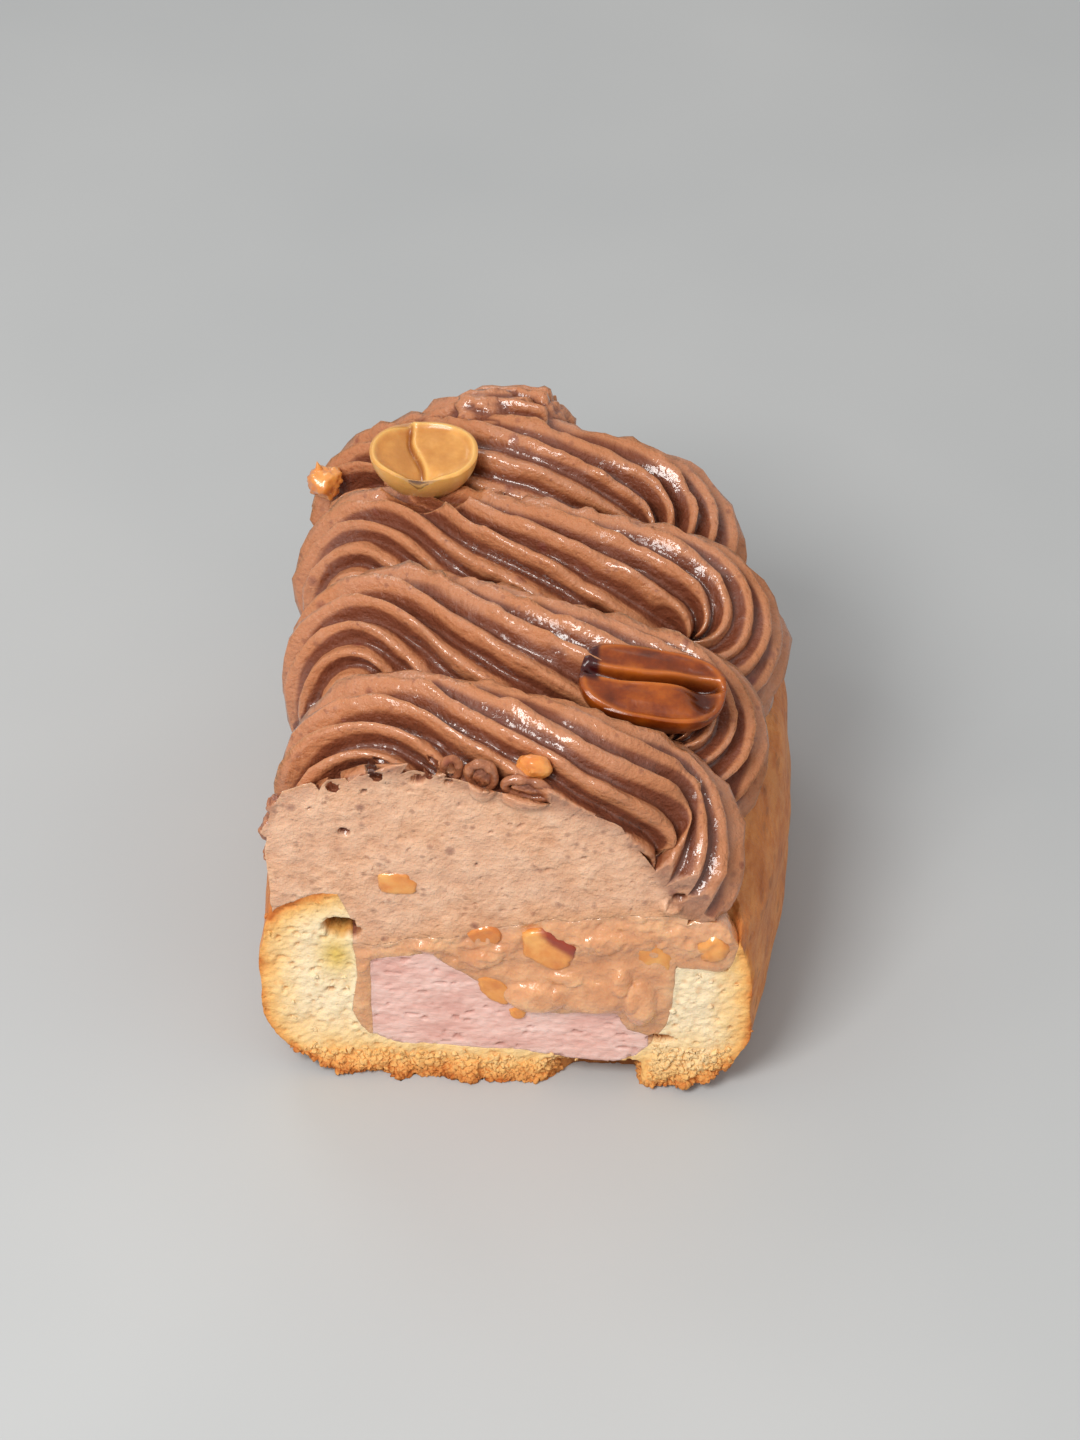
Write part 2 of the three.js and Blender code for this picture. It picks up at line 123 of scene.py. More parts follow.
SHARP, SHARP_DEEPER = 1.2, 0.20           # the ridges at the left folds are thinner and deeper

# ---------------------------------------------------------------- cut face
CUT_STEP = 0.22
CUT_BOX = (-28.0, 28.5, -1.2, 44.0)       # x and z that the cut face covers
ON_CUT = 0.05                             # nearer than this, a vertex lies on the cut
CRUMB_PORES, CREAM_PORES = 420, 160
BUBBLES = [(-14.3, 31.8, 0.55, 1.5), (-12.3, 37.2, 0.32, 1.0), (-7.3, 39.0, 0.6, 1.6),
           (-4.4, 38.9, 0.4, 1.4), (-17.4, 34.6, 0.25, 0.8), (8.0, 30.2, 0.2, 0.6), (-2.0, 28.6, 0.2, 0.5)]
CREAM_LUMPS = [((-1.4, 38.4), (1.3, 1.6), 0.8), ((2.6, 37.4), (2.3, 1.3), 0.9),
               ((16.2, 24.6), (1.1, 0.9), 0.8)]
BULGES = [((3.4, 11.6), (3.0, 2.0), 0.9), ((9.2, 12.2), (4.2, 2.4), 0.7), ((13.6, 11.6), (1.5, 3.2), 0.9),
          ((11.7, 14.6), (1.0, 1.6), 0.7), ((-1.5, 16.4), (1.8, 1.2), 0.6), ((-6.8, 17.5), (1.6, 0.8), 0.6),
          ((6.4, 14.6), (1.7, 0.9), 0.6), ((9.5, 19.6), (2.4, 1.6), 0.5)]
HOLES = [((-14.9, 19.3), (1.6, 1.4), 5.0),         # between the left wall and the filling
         ((-16.3, 10.9), (0.4, 0.35), 1.0),        # a pit in the left wall
         ((15.5, 6.5), (1.3, 0.6), 3.2),           # the gap over the right foot
         ((16.9, 25.8), (0.6, 0.5), 1.4)]          # between the cream and its right fold
MOIST, MOIST_HALF = (-15.6, 15.6), (1.7, 2.6)      # a patch of the crumb soaked by the filling

LOOPS = [((-4.3, 0.9, 39.7), (0.75, 1.35), 0.38, 8), ((-1.5, 0.9, 39.1), (1.2, 1.5), 0.42, -12),
         ((2.7, 0.7, 38.0), (2.1, 1.0), 0.40, 12)]
LOOP_STEPS, LOOP_SIDES = 72, 20
DROPLETS = [((2.8, 0.9, 38.0), (1.7, 0.6, 0.7), 12), ((-1.5, 1.0, 39.1), (0.9, 0.5, 1.1), -12),
            ((-20.9, 0.9, 31.4), (1.2, 1.3, 1.6), 20), ((-20.5, 0.9, 34.2), (1.0, 1.1, 1.1), 0),
            ((-21.0, 0.9, 28.0), (1.0, 1.1, 1.3), -20), ((0.9, 55.4, 36.4), (2.4, 3.0, 3.3), 0)]
POCKETS = [((-15.1, 1.0, 37.5), (0.9, 1.4, 0.8)), ((-11.1, 1.2, 39.1), (1.0, 1.5, 0.8)),
           ((-6.2, 1.2, 39.5), (0.8, 1.4, 0.7))]
DENTS = [((-10.8, 40.4, 41.6), (5.6, 3.2, 3.4), 5),              # room in front of the pale half
         ((13.4, 15.2, 40.8), (6.2, 3.3, 3.3), 6)]               # and over the roasted one

# ---------------------------------------------------------------- nuts
CHUNKS = {
    "nut_piece_with_skin": {"at": (4.6, 0.9, 17.9), "half": (3.6, 2.6, 2.7), "turn": 24, "seed": 3,
                            "proud": 0.55},
    "nut_piece_pale": {"at": (-1.4, 0.6, 19.3), "half": (1.7, 1.6, 1.6), "turn": 10, "seed": 5},
    "nut_piece_golden": {"at": (-0.4, 0.8, 12.3), "half": (2.9, 1.9, 1.5), "turn": 46, "seed": 8},
    "nut_piece_glazed": {"at": (14.8, 0.8, 17.4), "half": (1.9, 1.9, 2.5), "turn": -12, "seed": 13},
    "nut_piece_on_rim": {"at": (20.0, 1.6, 19.5), "half": (2.1, 2.9, 2.4), "turn": 8, "seed": 21,
                         "proud": 1.1},
    "nut_piece_in_cream": {"at": (-9.4, 0.7, 25.9), "half": (2.3, 1.6, 1.9), "turn": -8, "seed": 34},
    "nut_crumb_at_cut": {"at": (1.8, 0.3, 9.3), "half": (0.95, 0.9, 0.9), "turn": 0, "seed": 55},
    "nut_piece_in_piping": {"at": (3.4, 2.0, 39.6), "half": (1.7, 1.3, 1.3), "turn": 20, "seed": 89},
    "nut_crumb_on_side": {"at": (-21.6, 49.2, 33.9), "half": (1.8, 1.7, 2.0), "turn": 15, "seed": 144,
                          "rough": 0.42},
}
SPIKE = ((-22.3, 49.3, 35.2), (0.45, 0.4, 1.1))    # on the crumb at the side
PEANUTS = {
    "peanut_half_roasted": {"at": (13.4, 15.3, 38.6), "size": (13.9, 8.2, 4.8), "yaw": -6, "roll": 12,
                            "pitch": 5, "blunt": 2.7, "taper": 0.04},
    "peanut_half_blanched": {"at": (-11.0, 44.5, 42.2), "size": (10.8, 8.0, 5.2), "yaw": 1, "roll": 8,
                             "pitch": 0, "blunt": 2.2, "taper": -0.04},
}
PEANUT_LONG, PEANUT_CROSS = 120, 64
# Each "groove" colour is painted shade for the groove and germ pit of the peanut halves.
NUT_FINISHES = {
    "golden_nut": {"flesh": ((204, 116, 50), (224, 142, 68), (238, 172, 96)), "groove": (200, 120, 60),
                   "skin": (150, 52, 24), "lips": (250, 200, 140), "rough": 0.35, "coat": 0.8},
    "roasted_peanut": {"flesh": ((92, 34, 4), (122, 50, 8), (160, 78, 16)), "groove": (68, 22, 4),
                       "skin": (58, 8, 6), "lips": (196, 108, 36), "rough": 0.30, "coat": 0.2},
    "blanched_peanut": {"flesh": ((184, 120, 52), (200, 137, 66), (220, 160, 84)), "groove": (146, 80, 28),
                        "skin": (240, 190, 110), "lips": (240, 192, 112), "rough": 0.38, "coat": 0.35},
}


# ---------------------------------------------------------------- noise
def lattice(cell, seed):
    """A repeatable value from 0 to 1 for each whole-numbered cell."""
    mixed = (cell[..., 0] * 374761393 + cell[..., 1] * 668265263 + cell[..., 2] * 1442695041
             + seed * 974634777) & 0xFFFFFFFF
    mixed = ((mixed ^ (mixed >> 13)) * 1274126177) & 0xFFFFFFFF
    return (mixed ^ (mixed >> 16)) / 0xFFFFFFFF


def noise(points, size, seed):
    """Smooth noise from -1 to 1 with lumps about `size` mm across."""
    place = np.asarray(points, float) / np.asarray(size, float)
    cell = np.floor(place).astype(np.int64)
    part = place - cell
    part = part * part * (3 - 2 * part)
    total = np.zeros(place.shape[:-1])
    for corner in range(8):
        step = np.array([corner & 1, corner >> 1 & 1, corner >> 2 & 1])
        share = np.prod(np.where(step, part, 1 - part), axis=-1)
        total += share * lattice(cell + step, seed)
    return 2 * total - 1


def fractal(points, size, seed):
    """Noise with two finer and weaker ones on top of it."""
    size = np.asarray(size, float)
    return sum(0.5 ** finer * noise(points, size / 2 ** finer, seed + finer) for finer in range(3)) / 1.75


def uneven(x, y, seed):
    """The slow unevenness that the solids have."""
    return 0.6 * np.sin(0.31 * x + 0.23 * y + seed) + 0.4 * np.sin(0.17 * x - 0.41 * y + 2.3 * seed)


def smooth(low, high, value):
    """0 below low, 1 above high, eased between them."""
    t = np.clip((value - low) / (high - low), 0, 1)
    return t * t * (3 - 2 * t)


def mix(a, b, share):
    return a + (b - a) * share


def hump(value, middle, reach):
    """1 at the middle, falling away smoothly on both sides."""
    return np.exp(-(((value - middle) / reach) ** 2))


# ---------------------------------------------------------------- meshes
def mesh_piece(name, points, faces):
    """A mesh object from vertices and triangles."""
    points, faces = np.asarray(points, np.float32), np.asarray(faces, np.int32)
    mesh = bpy.data.meshes.new(name)
    mesh.vertices.add(len(points))
    mesh.vertices.foreach_set("co", points.ravel())
    mesh.loops.add(faces.size)
    mesh.loops.foreach_set("vertex_index", faces.ravel())
    mesh.polygons.add(len(faces))
    mesh.polygons.foreach_set("loop_start", np.arange(0, faces.size, 3, dtype=np.int32))
    mesh.update(calc_edges=True)
    return placed(name, mesh)


def placed(name, data):
    """An object with the given data, in the scene."""
    piece = bpy.data.objects.new(name, data)
    bpy.context.scene.collection.objects.link(piece)
    return piece


def triangles(*sets):
    """Faces from sets of three corners."""
    return np.vstack([np.stack(np.broadcast_arrays(*corners), 1) for corners in sets])


def cells(rings, around, closed=False):
    """The four corners of each cell between rings of points."""
    ring, step = np.meshgrid(np.arange(rings if closed else rings - 1), np.arange(around), indexing="ij")
    a, b = (ring * around + step).ravel(), (ring * around + (step + 1) % around).ravel()
    return a, b, (b + around) % (rings * around), (a + around) % (rings * around)


def tube(name, rings, caps=None):
    """A closed solid through rings of points and the middles of its two ends, its faces outward."""
    count, around = rings.shape[:2]
    caps = (rings[0].mean(0), rings[-1].mean(0)) if caps is None else caps
    points = np.vstack([rings.reshape(-1, 3), *caps])
    a, b, c, d = cells(count, around)
    here, after = np.arange(around), (np.arange(around) + 1) % around
    first, last, end = len(points) - 2, len(points) - 1, (count - 1) * around
    faces = triangles((a, c, b), (a, d, c), (first, here, after), (last, end + after, end + here))
    corner = points[faces]
    volume = np.einsum("ij,ij->i", corner[:, 0], np.cross(corner[:, 1], corner[:, 2])).sum()
    return mesh_piece(name, points, faces if volume > 0 else faces[:, ::-1])


def sheet_solid(name, height, x, y, bottom):
    """Everything under a grid of heights, down to `bottom`."""
    gx, gy = np.meshgrid(x, y, indexing="ij")
    sheets = [np.stack([gx, gy, z], -1).reshape(-1, 3) for z in (height, np.full_like(gx, bottom))]
    under = gx.size
    index = np.arange(under).reshape(gx.shape)
    a, b, c, d = (part.ravel()
                  for part in (index[:-1, :-1], index[1:, :-1], index[1:, 1:], index[:-1, 1:]))
    sets = [(a, b, c), (a, c, d), (a + under, c + under, b + under), (a + under, d + under, c + under)]
    for edge in (index[:, 0], index[-1, :], index[::-1, -1], index[0, ::-1]):
        p, q = edge[:-1], edge[1:]
        sets += [(p, p + under, q + under), (p, q + under, q)]
    return mesh_piece(name, np.vstack(sheets), triangles(*sets))


def ground_solid(name, height, across, back, bottom):
    """Everything under a height that depends on x and y, which are given as ranges."""
    x, y = np.arange(*across), np.arange(*back)
    return sheet_solid(name, height(x[:, None], y[None, :]), x, y, bottom)


def remove(piece):
    mesh = piece.data
    bpy.data.objects.remove(piece)
    bpy.data.meshes.remove(mesh)


def applied(piece, step):
    """The piece with the result of a modifier as its mesh, and the modifier removed."""
    bpy.context.view_layer.update()
    shape = bpy.data.meshes.new_from_object(piece.evaluated_get(bpy.context.evaluated_depsgraph_get()))
    piece.modifiers.remove(step)
    old, piece.data = piece.data, shape
    bpy.data.meshes.remove(old)
    return piece


def combine(piece, other, operation, keep=False):
    """Joins (UNION), cuts (DIFFERENCE) or intersects (INTERSECT) a piece with another."""
    step = piece.modifiers.new("combine", "BOOLEAN")
    step.operation, step.object, step.solver = operation, other, "MANIFOLD"
    applied(piece, step)
    if not keep:
        remove(other)
    return piece


def copy_of(piece, name):
    return placed(name, piece.data.copy())


def read(collection, field, width, kind=np.float32):
    """A field of a mesh's vertices or edges, one row for each."""
    flat = np.empty(len(collection) * width, kind)
    collection.foreach_get(field, flat)
    return flat.reshape(-1, width)


def points_of(piece):
    return read(piece.data.vertices, "co", 3).astype(float)


def move_points(piece, points):
    piece.data.vertices.foreach_set("co", np.asarray(points, np.float32).ravel())
    piece.data.update()


def note(piece, name, values):
    """Stores one number for each vertex, for the material to read."""
    layer = piece.data.attributes.new(name, "FLOAT", "POINT")
    layer.data.foreach_set("value", np.asarray(values, np.float32))


def crests(piece, rounds=9):
    """How far each vertex stands above (+) or below (-) its surroundings."""
    mesh, points = piece.data, points_of(piece)
    edges, normals = read(mesh.edges, "vertices", 2, np.int32), read(mesh.vertices, "normal", 3)
    degree = np.maximum(np.bincount(edges.ravel(), minlength=len(points)).astype(float), 1)

    def around(values):
        total = np.zeros_like(values)
        np.add.at(total, edges[:, 0], values[edges[:, 1]])
        np.add.at(total, edges[:, 1], values[edges[:, 0]])
        return total / (degree[:, None] if values.ndim > 1 else degree)

    mean = points
    for _ in range(rounds):
        mean = 0.5 * mean + 0.5 * around(mean)
    height = np.einsum("ij,ij->i", points - mean, normals)
    return 0.5 * height + 0.5 * around(height)


# ---------------------------------------------------------------- outlines
def along(line, x):
    """Height on a line of [x, z] points."""
    return np.interp(x, [p[0] for p in line], [p[1] for p in line])


def resampled(outline, count):
    """x and z at `count` places along an outline."""
    corners = np.array(outline, float)
    fine = np.linspace(0, len(corners) - 1, count)
    return [np.interp(fine, np.arange(len(corners)), corners[:, k]) for k in (0, 1)]


def within(outline, x, z):
    """Whether each point lies inside a closed outline."""
    inside = np.zeros(np.shape(x), bool)
    for (x0, z0), (x1, z1) in zip(outline, outline[1:] + outline[:1]):
        if z0 != z1:
            inside ^= ((z0 > z) != (z1 > z)) & (x < (x1 - x0) * (z - z0) / (z1 - z0) + x0)
    return inside


def oval(x, z, at, half):
    """The squared distance from an oval's middle, 1 at its edge."""
    return ((x - at[0]) / half[0]) ** 2 + ((z - at[1]) / half[1]) ** 2


def rings_of(x, y, z):
    """Rings of points, one for each y."""
    return np.stack(np.broadcast_arrays(x, y[:, None], z), -1)


def floor_spot(x, y):
    """Each x and y as a point at height 0, for noise."""
    return np.stack(np.broadcast_arrays(x, y, 0.0), -1)


def tilt(degrees):
    """A turn about Y, in the plane of the cut."""
    c, s = math.cos(math.radians(degrees)), math.sin(math.radians(degrees))
    return np.array([[c, 0, s], [0, 1, 0], [-s, 0, c]])


def end_scale(y, start, end):
    t = np.clip((y - start) / (end - start), 0, 1)
    return (1 - t ** END_POWER) ** (1 / END_POWER)


def stations(start, end, spacing):
    """Places along Y, closer together round the end, each with its share of the full section."""
    steps = int((end + PAST_CUT) / spacing)
    even = end * np.sin(np.linspace(0, 1, steps) * math.pi / 2) ** 0.9
    y = np.concatenate([[-PAST_CUT, -PAST_CUT / 2], even])
    scale = np.maximum(END_LEAST, end_scale(y, start, end))
    scale[-1] = END_LEAST
    return y, scale


# ---------------------------------------------------------------- choux shell
def half_sizes(left, low, y, scale):
    """Half the loaf's width, and its height from the waist up or down."""
    bulge = np.sin(math.pi * np.clip(y / (2 * SWELL_AT), 0, 1))
    half = np.where(left, LEFT + SWELL_LEFT * bulge, RIGHT + SWELL_RIGHT * bulge)
    return half * scale, np.where(low, BELOW, ABOVE) * scale ** END_TALL


def loaf(name, spacing=0.75, around=220):
    """The whole closed choux, uneven and finely wrinkled outside."""
    y, scale = stations(END_START, LENGTH, spacing)
    angle = np.linspace(0, 2 * math.pi, around, endpoint=False)
    angle = angle - 0.13 * np.sin(4 * angle)
    c, s = np.cos(angle), np.sin(angle)
    half, tall = half_sizes(c < 0, s < 0, y[:, None], scale[:, None])
    x = half * np.sign(c) * np.abs(c) ** (2 / SQUARE)
    z = WAIST + tall * np.sign(s) * np.abs(s) ** (2 / SQUARE)
    x = x + 0.25 * uneven(3 * z, y[:, None], 1) * np.sign(c)
    rings = rings_of(x, y, z)
    out = rings_of(c, 0 * y, s)
    swell = 0.30 * fractal(rings, (9, 14, 7), 3) + 0.10 * noise(rings, (1.7, 5.0, 1.7), 9)
    swell += 0.05 * noise(rings, (0.8, 1.6, 0.8), 12)
    rings = rings + out * (swell - 0.12)[..., None]
    rings[..., 2] = np.maximum(rings[..., 2], 0)
    return tube(name, rings)


def trough(name, spacing=1.0):
    """The hollow of the shell, which the filling takes up."""
    y, scale = stations(TROUGH_START, TROUGH_END, spacing)
    x, z = resampled(WALL_INSIDE, 90)
    wander = 0.35 * uneven(z, y[:, None], 4)
    rings = rings_of((x + wander) * scale[:, None], y, z + (1 - scale[:, None]) * 4)
    rough = 0.35 * fractal(rings, 2.6, 31)
    rings[..., 0] += rough
    rings[..., 2] += 0.6 * rough
    return tube(name, rings)


def rim_height(x, y):
    inside = np.clip((x - 12) / 2, 0, 1) * np.clip((RIM_EDGE - x) / 1.2, 0, 1)
    broken = RIM_DIP * inside * hump(y, 0, RIM_DIP_LONG)
    lower = RIM_FALL * np.clip(x / 20, 0, 1)
    rough = 0.35 * fractal(floor_spot(x, y), 1.6, 21)
    return RIM - lower - broken + 0.35 * uneven(2 * x, 1.4 * y, 2) + rough - 0.1


def choux_depth(points):
    """Millimetres from the crust, for any point of the shell."""
    def size(p):
        x, y, z = p[:, 0], p[:, 1], p[:, 2]
        scale = np.maximum(END_LEAST, end_scale(y, END_START, LENGTH))
        half, tall = half_sizes(x < 0, z < WAIST, y, scale)
        return (np.abs(x / half) ** SQUARE + np.abs((z - WAIST) / tall) ** SQUARE) ** (1 / SQUARE)
    here = size(points)
    slope = np.sqrt(sum((size(points + 0.1 * axis) - here) ** 2 for axis in np.eye(3))) / 0.1
    inward = np.minimum((1 - here) / np.maximum(slope, 1e-4), 0.5 * points[:, 2] + 0.1)
    return np.minimum(inward, 0.8 * np.maximum(LENGTH - points[:, 1], 0))


# ---------------------------------------------------------------- filling
def mousse(name):
    """The block of mousse, with a slightly torn upper side."""
    y = np.arange(-PAST_CUT, MOUSSE_END + 1, 1.5)
    x, z = resampled(MOUSSE, 80)
    rings = rings_of(x, y, z)
    edge = 0.45 * fractal(rings, 2.2, 41)
    high = rings[..., 2] > 1
    sag = 0.5 * uneven(x, 1.3 * y[:, None], 3) * np.clip(y / 6, 0, 1)[:, None]
    rings[..., 2] += np.where(high, edge + sag, 0)
    rings[..., 0] += np.where(high, 0.4 * edge, 0)
    return tube(name, rings)


def caramel_height(x, y):
    rough = 0.45 * fractal(floor_spot(x, y), 2.4, 51)
    return along(CARAMEL_TOP, x) + 0.5 * uneven(1.2 * x, y, 6) * np.clip(y / 6, 0, 1) + rough


def fill_level(x, y):
    return FILLED_TO + 0.5 * fractal(floor_spot(x, y), 3.0, 46)


def caramel_share(points):
    """0 in the cream to 0.9 in the caramel, with a wandering border between them."""
    near = caramel_height(points[:, 0], points[:, 1]) - points[:, 2]
    return 0.9 * smooth(-3.4, 2.4, near + 1.5 * fractal(points, 2.6, 97))


def lump(name, at, half, turn, seed, rough, facets=0.0, proud=None):
    """An uneven rounded lump. Facets give it flats like a chopped nut, and proud a flat front."""
    shape = bmesh.new()
    bmesh.ops.create_icosphere(shape, subdivisions=4, radius=1.0)
    points = np.array([v.co for v in shape.verts])
    faces = np.array([[v.index for v in f.verts] for f in shape.faces])
    shape.free()
    if facets:
        rng = np.random.default_rng(seed)
        cuts = rng.normal(size=(9, 3))
        cuts /= np.linalg.norm(cuts, axis=1)[:, None]
        for cut in cuts:
            over = points @ cut - rng.uniform(0.72, 0.92)
            points = points - cut * (facets * np.maximum(over, 0))[:, None]
    skin = smooth(0.50, 0.75, points @ np.array([0.38, -0.25, 0.89]))
    bump = 1 + rough * fractal(points, 0.9, seed) + 0.35 * rough * noise(points, 0.22, seed + 5)
    points = (points * bump[:, None] * np.array(half)) @ tilt(turn).T + np.array(at)
    if proud is not None:
        points[:, 1] = np.maximum(points[:, 1], -proud + 0.12 * fractal(points, 1.1, seed + 9))
    piece = mesh_piece(name, points, faces)
    if "with_skin" in name:
        note(piece, "skin", skin)
    return piece


# ---------------------------------------------------------------- piped cream
def rope_corners():
    """The points that the piped rope is led past, stroke by stroke."""
    points = [np.array(p, float) for p in START]
    for here, after in zip(STROKES, STROKES[1:]):
        for x, dy, z in STROKE:
            share = min(max(-dy / STROKE_PITCH, 0), 1)
            rightward, leftward = min(max(x / ASIDE, 0), 1), min(max(-x / ASIDE, 0), 1)
            below = -10 < dy < -3          # the way back to the left, under the next stroke
            lower = here.get("sink", 0) * leftward if dy > 0 else 0
            lower += here.get("drop", 0) * float(smooth(8, 15, x))
            lower += here.get("after", 0) * below
            y = here["y"] + dy if dy > 0 else mix(here["y"], after["y"], share)
            y += here.get("slant", 0) * rightward
            y += here.get("tuck", 0) * float(smooth(9, 15, x))
            y -= mix(here.get("forward", 0), after.get("forward", 0), share) * leftward
            wide = mix(here["wide"], after["wide"], share) * (here.get("inward", 1) if below else 1)
            points.append(np.array([mix(here["x"], after["x"], share) + x * wide, y, z - lower]))
    return np.array(points)


def rope_line():
    """The middle line of the piped rope, from its torn start at the back to past the cut."""
    points = rope_corners()
    points = np.vstack([2 * points[0] - points[1], points, 2 * points[-1] - points[-2]])
    t = np.linspace(0, 1, 60, endpoint=False)[:, None]
    pieces = [0.5 * (2 * b + (c - a) * t + (2 * a - 5 * b + 4 * c - d) * t ** 2
                     + (3 * b - a - 3 * c + d) * t ** 3)
              for a, b, c, d in zip(points, points[1:], points[2:], points[3:])]
    line = np.vstack(pieces + [points[-2][None]])
    length = np.concatenate([[0], np.cumsum(np.linalg.norm(np.diff(line, axis=0), axis=1))])
    even = np.linspace(0, length[-1], int(length[-1] / ROPE_STEP) + 1)
    line = np.stack([np.interp(even, length, line[:, k]) for k in range(3)], 1)
    for _ in range(14):
        line[1:-1] = (line[:-2] + 2 * line[1:-1] + line[2:]) / 4
    return line


def rope_rings(line):
    """Fluted rings along the line."""
    rate = np.gradient(line, axis=0)
    length = np.linalg.norm(rate, axis=1)
    ahead = rate / length[:, None]
    bend = np.gradient(ahead, axis=0) / length[:, None]
    run = np.cumsum(length)
    turned = np.cumsum(TWIST * np.cross(ahead, bend)[:, 2] * length - ROLL * length)
    up = np.zeros_like(line)
    now = np.array([0, 0, 1.0])
    for i, way in enumerate(ahead):
        now = now - way * (now @ way)
        now = now / np.linalg.norm(now)
        up[i] = now
    left = np.cross(up, ahead)
    flute = np.linspace(0, 2 * math.pi, ROUND_STEPS, endpoint=False)
    angle = flute[None, :] + turned[:, None]
    tooth = TEETH * flute / (2 * math.pi)
    spot = np.stack(np.broadcast_arrays(run[:, None], 3.2 * np.cos(flute), 3.2 * np.sin(flute)), -1)
    folded = smooth(-3, -13, line[:, 0])[:, None]
    sway = 0.26 * noise(spot, (15, 2.4, 2.4), 60) + 0.07 * noise(spot, (3.2, 1.4, 1.4), 66)
    share = np.mod(tooth[None, :] + sway, 1.0) ** 1.22
    pleat = 1 - np.abs(2 * share - 1)
    ridge = mix(np.sin(math.pi * share) ** RIDGE_ROUND, pleat ** mix(1.0, SHARP, folded), PLEATED)
    deep = (1 + 0.5 * noise(spot, (13, 2.8, 2.8), 61)) * (1 + SHARP_DEEPER * folded)
    full = np.clip(START_THIN + (1 - START_THIN) * run / START_FILL, 0, 1)
    near_front = hump(line[:, 1], FRONT_LOOP["y"], FRONT_LOOP["reach"])
    full = full * (1 + FRONT_LOOP["swell"] * near_front * folded[:, 0])
    out = full[:, None] * (ROPE - GROOVE * deep * (1 - ridge))
    out = out + 0.55 * ridge ** 4 * noise(spot, (1.2, 0.9, 0.9), 62)
    out = out + 0.32 * noise(spot, (8, 2.6, 2.6), 63)
    out = out + 0.10 * noise(spot, (6, 0.32, 0.32), 67)
    point = (up[:, None, :] * (np.cos(angle) * out)[..., None]
             + left[:, None, :] * (np.sin(angle) * out)[..., None])
    tight = np.maximum(np.linalg.norm(bend, axis=1), 1e-6)
    inward = bend / tight[:, None]
    over = np.maximum(np.einsum("ijk,ik->ij", point, inward) - (TURN_CLEAR / tight)[:, None], 0)
    point = point - inward[:, None, :] * over[..., None]
    rings = line[:, None, :] + point
    away = point / np.maximum(np.linalg.norm(point, axis=2), 0.5)[..., None]
    return rings + away * (0.22 * noise(rings, 2.0, 64) + 0.17 * noise(rings, 0.85, 65))[..., None]


def piped_rope():
    """The rope as one solid, joined from its stretches between the folds."""
    line = rope_line()
    rings = rope_rings(line)
    back = (line[1:-1, 0] - line[:-2, 0]) * (line[2:, 0] - line[1:-1, 0]) < 0
    ends = [0, *(np.where(back)[0] + 1).tolist(), len(line) - 1]
    first, *others = [tube("rope", rings[start:end + 1]) for start, end in zip(ends, ends[1:])]
    for piece in others:
        combine(first, piece, "UNION")
    return first


def cream_body():
    """The smooth cream behind the cut, which the rope lies over."""
    y, scale = stations(CREAM_START, CREAM_END, 0.9)
    x0, z0 = resampled(CREAM_BODY, 170)
    behind = np.clip(y / 3, 0, 1)[:, None]
    x = x0 * np.maximum(scale, 0.3)[:, None] * mix(1, CREAM_NARROW, behind)
    notch = np.maximum(np.cos(2 * math.pi * (x0 - NOTCHES["at"]) / NOTCHES["apart"]), 0) ** 4
    notch = notch * ((x0 > NOTCHES["span"][0]) & (x0 < NOTCHES["span"][1])) * NOTCHES["deep"]
    z = z0 - behind * 5.0 * np.clip((z0 - 20) / 16, 0, 1) - notch * (z0 > 30)
    rings = rings_of(x, y, z)
    rough = 0.3 * fractal(rings, 2.5, 71)
    rings = rings + np.stack([rough * np.sign(x), 0 * rough, rough * (z > 22)], -1)
    return tube("cream_body", rings)


def wet_loop(at, half, thick, turn):
    """A loop of cream lying against the piping, upright like the cut."""
    angle, side = (np.linspace(0, 2 * math.pi, count, endpoint=False)
                   for count in (LOOP_STEPS, LOOP_SIDES))
    out = np.stack([np.cos(angle), 0 * angle, np.sin(angle)], 1)
    centre = out * np.array([half[0], 0, half[1]])
    swell = thick * (1 + 0.35 * noise(centre, 0.9, 68))
    points = centre[:, None, :] + (out[:, None, :] * np.cos(side)[None, :, None]
                                   + np.array([0, 1.0, 0]) * np.sin(side)[None, :, None]
                                   ) * swell[:, None, None]
    a, b, c, d = cells(LOOP_STEPS, LOOP_SIDES, closed=True)
    return mesh_piece("wet_loop", points.reshape(-1, 3) @ tilt(turn).T + np.array(at),
                      triangles((a, b, c), (a, c, d)))


def hook(at, half):
    """A torn tip that stands up and leans back."""
    piece = lump("hook", (0, 0, 0), (1, 1, 1), 0, 7, 0.10)
    points = points_of(piece)
    up = np.clip(points[:, 2], 0, 1)
    points[:, :2] *= (1 - 0.75 * up ** 1.2)[:, None]
    points = points * np.array(half)
    points[:, 1] += 0.5 * half[1] * up ** 2
    points[:, 0] -= 0.5 * half[0] * up ** 2
    move_points(piece, points + np.array(at))
    return piece


def whipped_cream(hollow, layer, walls, caramel):
    """The rope, the cream under it and the small tears in it, as one solid."""
    cream = piped_rope()
    combine(cream, cream_body(), "UNION")
    combine(cream, lump("torn_start", *TORN_START), "UNION")
    for number, (at, half, turn) in enumerate(DROPLETS):
        combine(cream, lump("droplet", at, half, turn, 60 + number, 0.4), "UNION")
    for loop in LOOPS:
        combine(cream, wet_loop(*loop), "UNION")
    for at, half, seed in DENTS:
        combine(cream, lump("dent", at, half, 0, seed, 0.12), "DIFFERENCE")
    for number, (at, half) in enumerate(POCKETS):
        combine(cream, lump("pocket", at, half, 0, 30 + number, 0.22), "DIFFERENCE")
    level = ground_solid("level", fill_level, *LEVEL_GRID)
    combine(cream, combine(hollow, level, "INTERSECT"), "UNION")
    combine(cream, layer, "DIFFERENCE")
    combine(cream, walls, "DIFFERENCE")
    return combine(cream, caramel, "DIFFERENCE", keep=True)


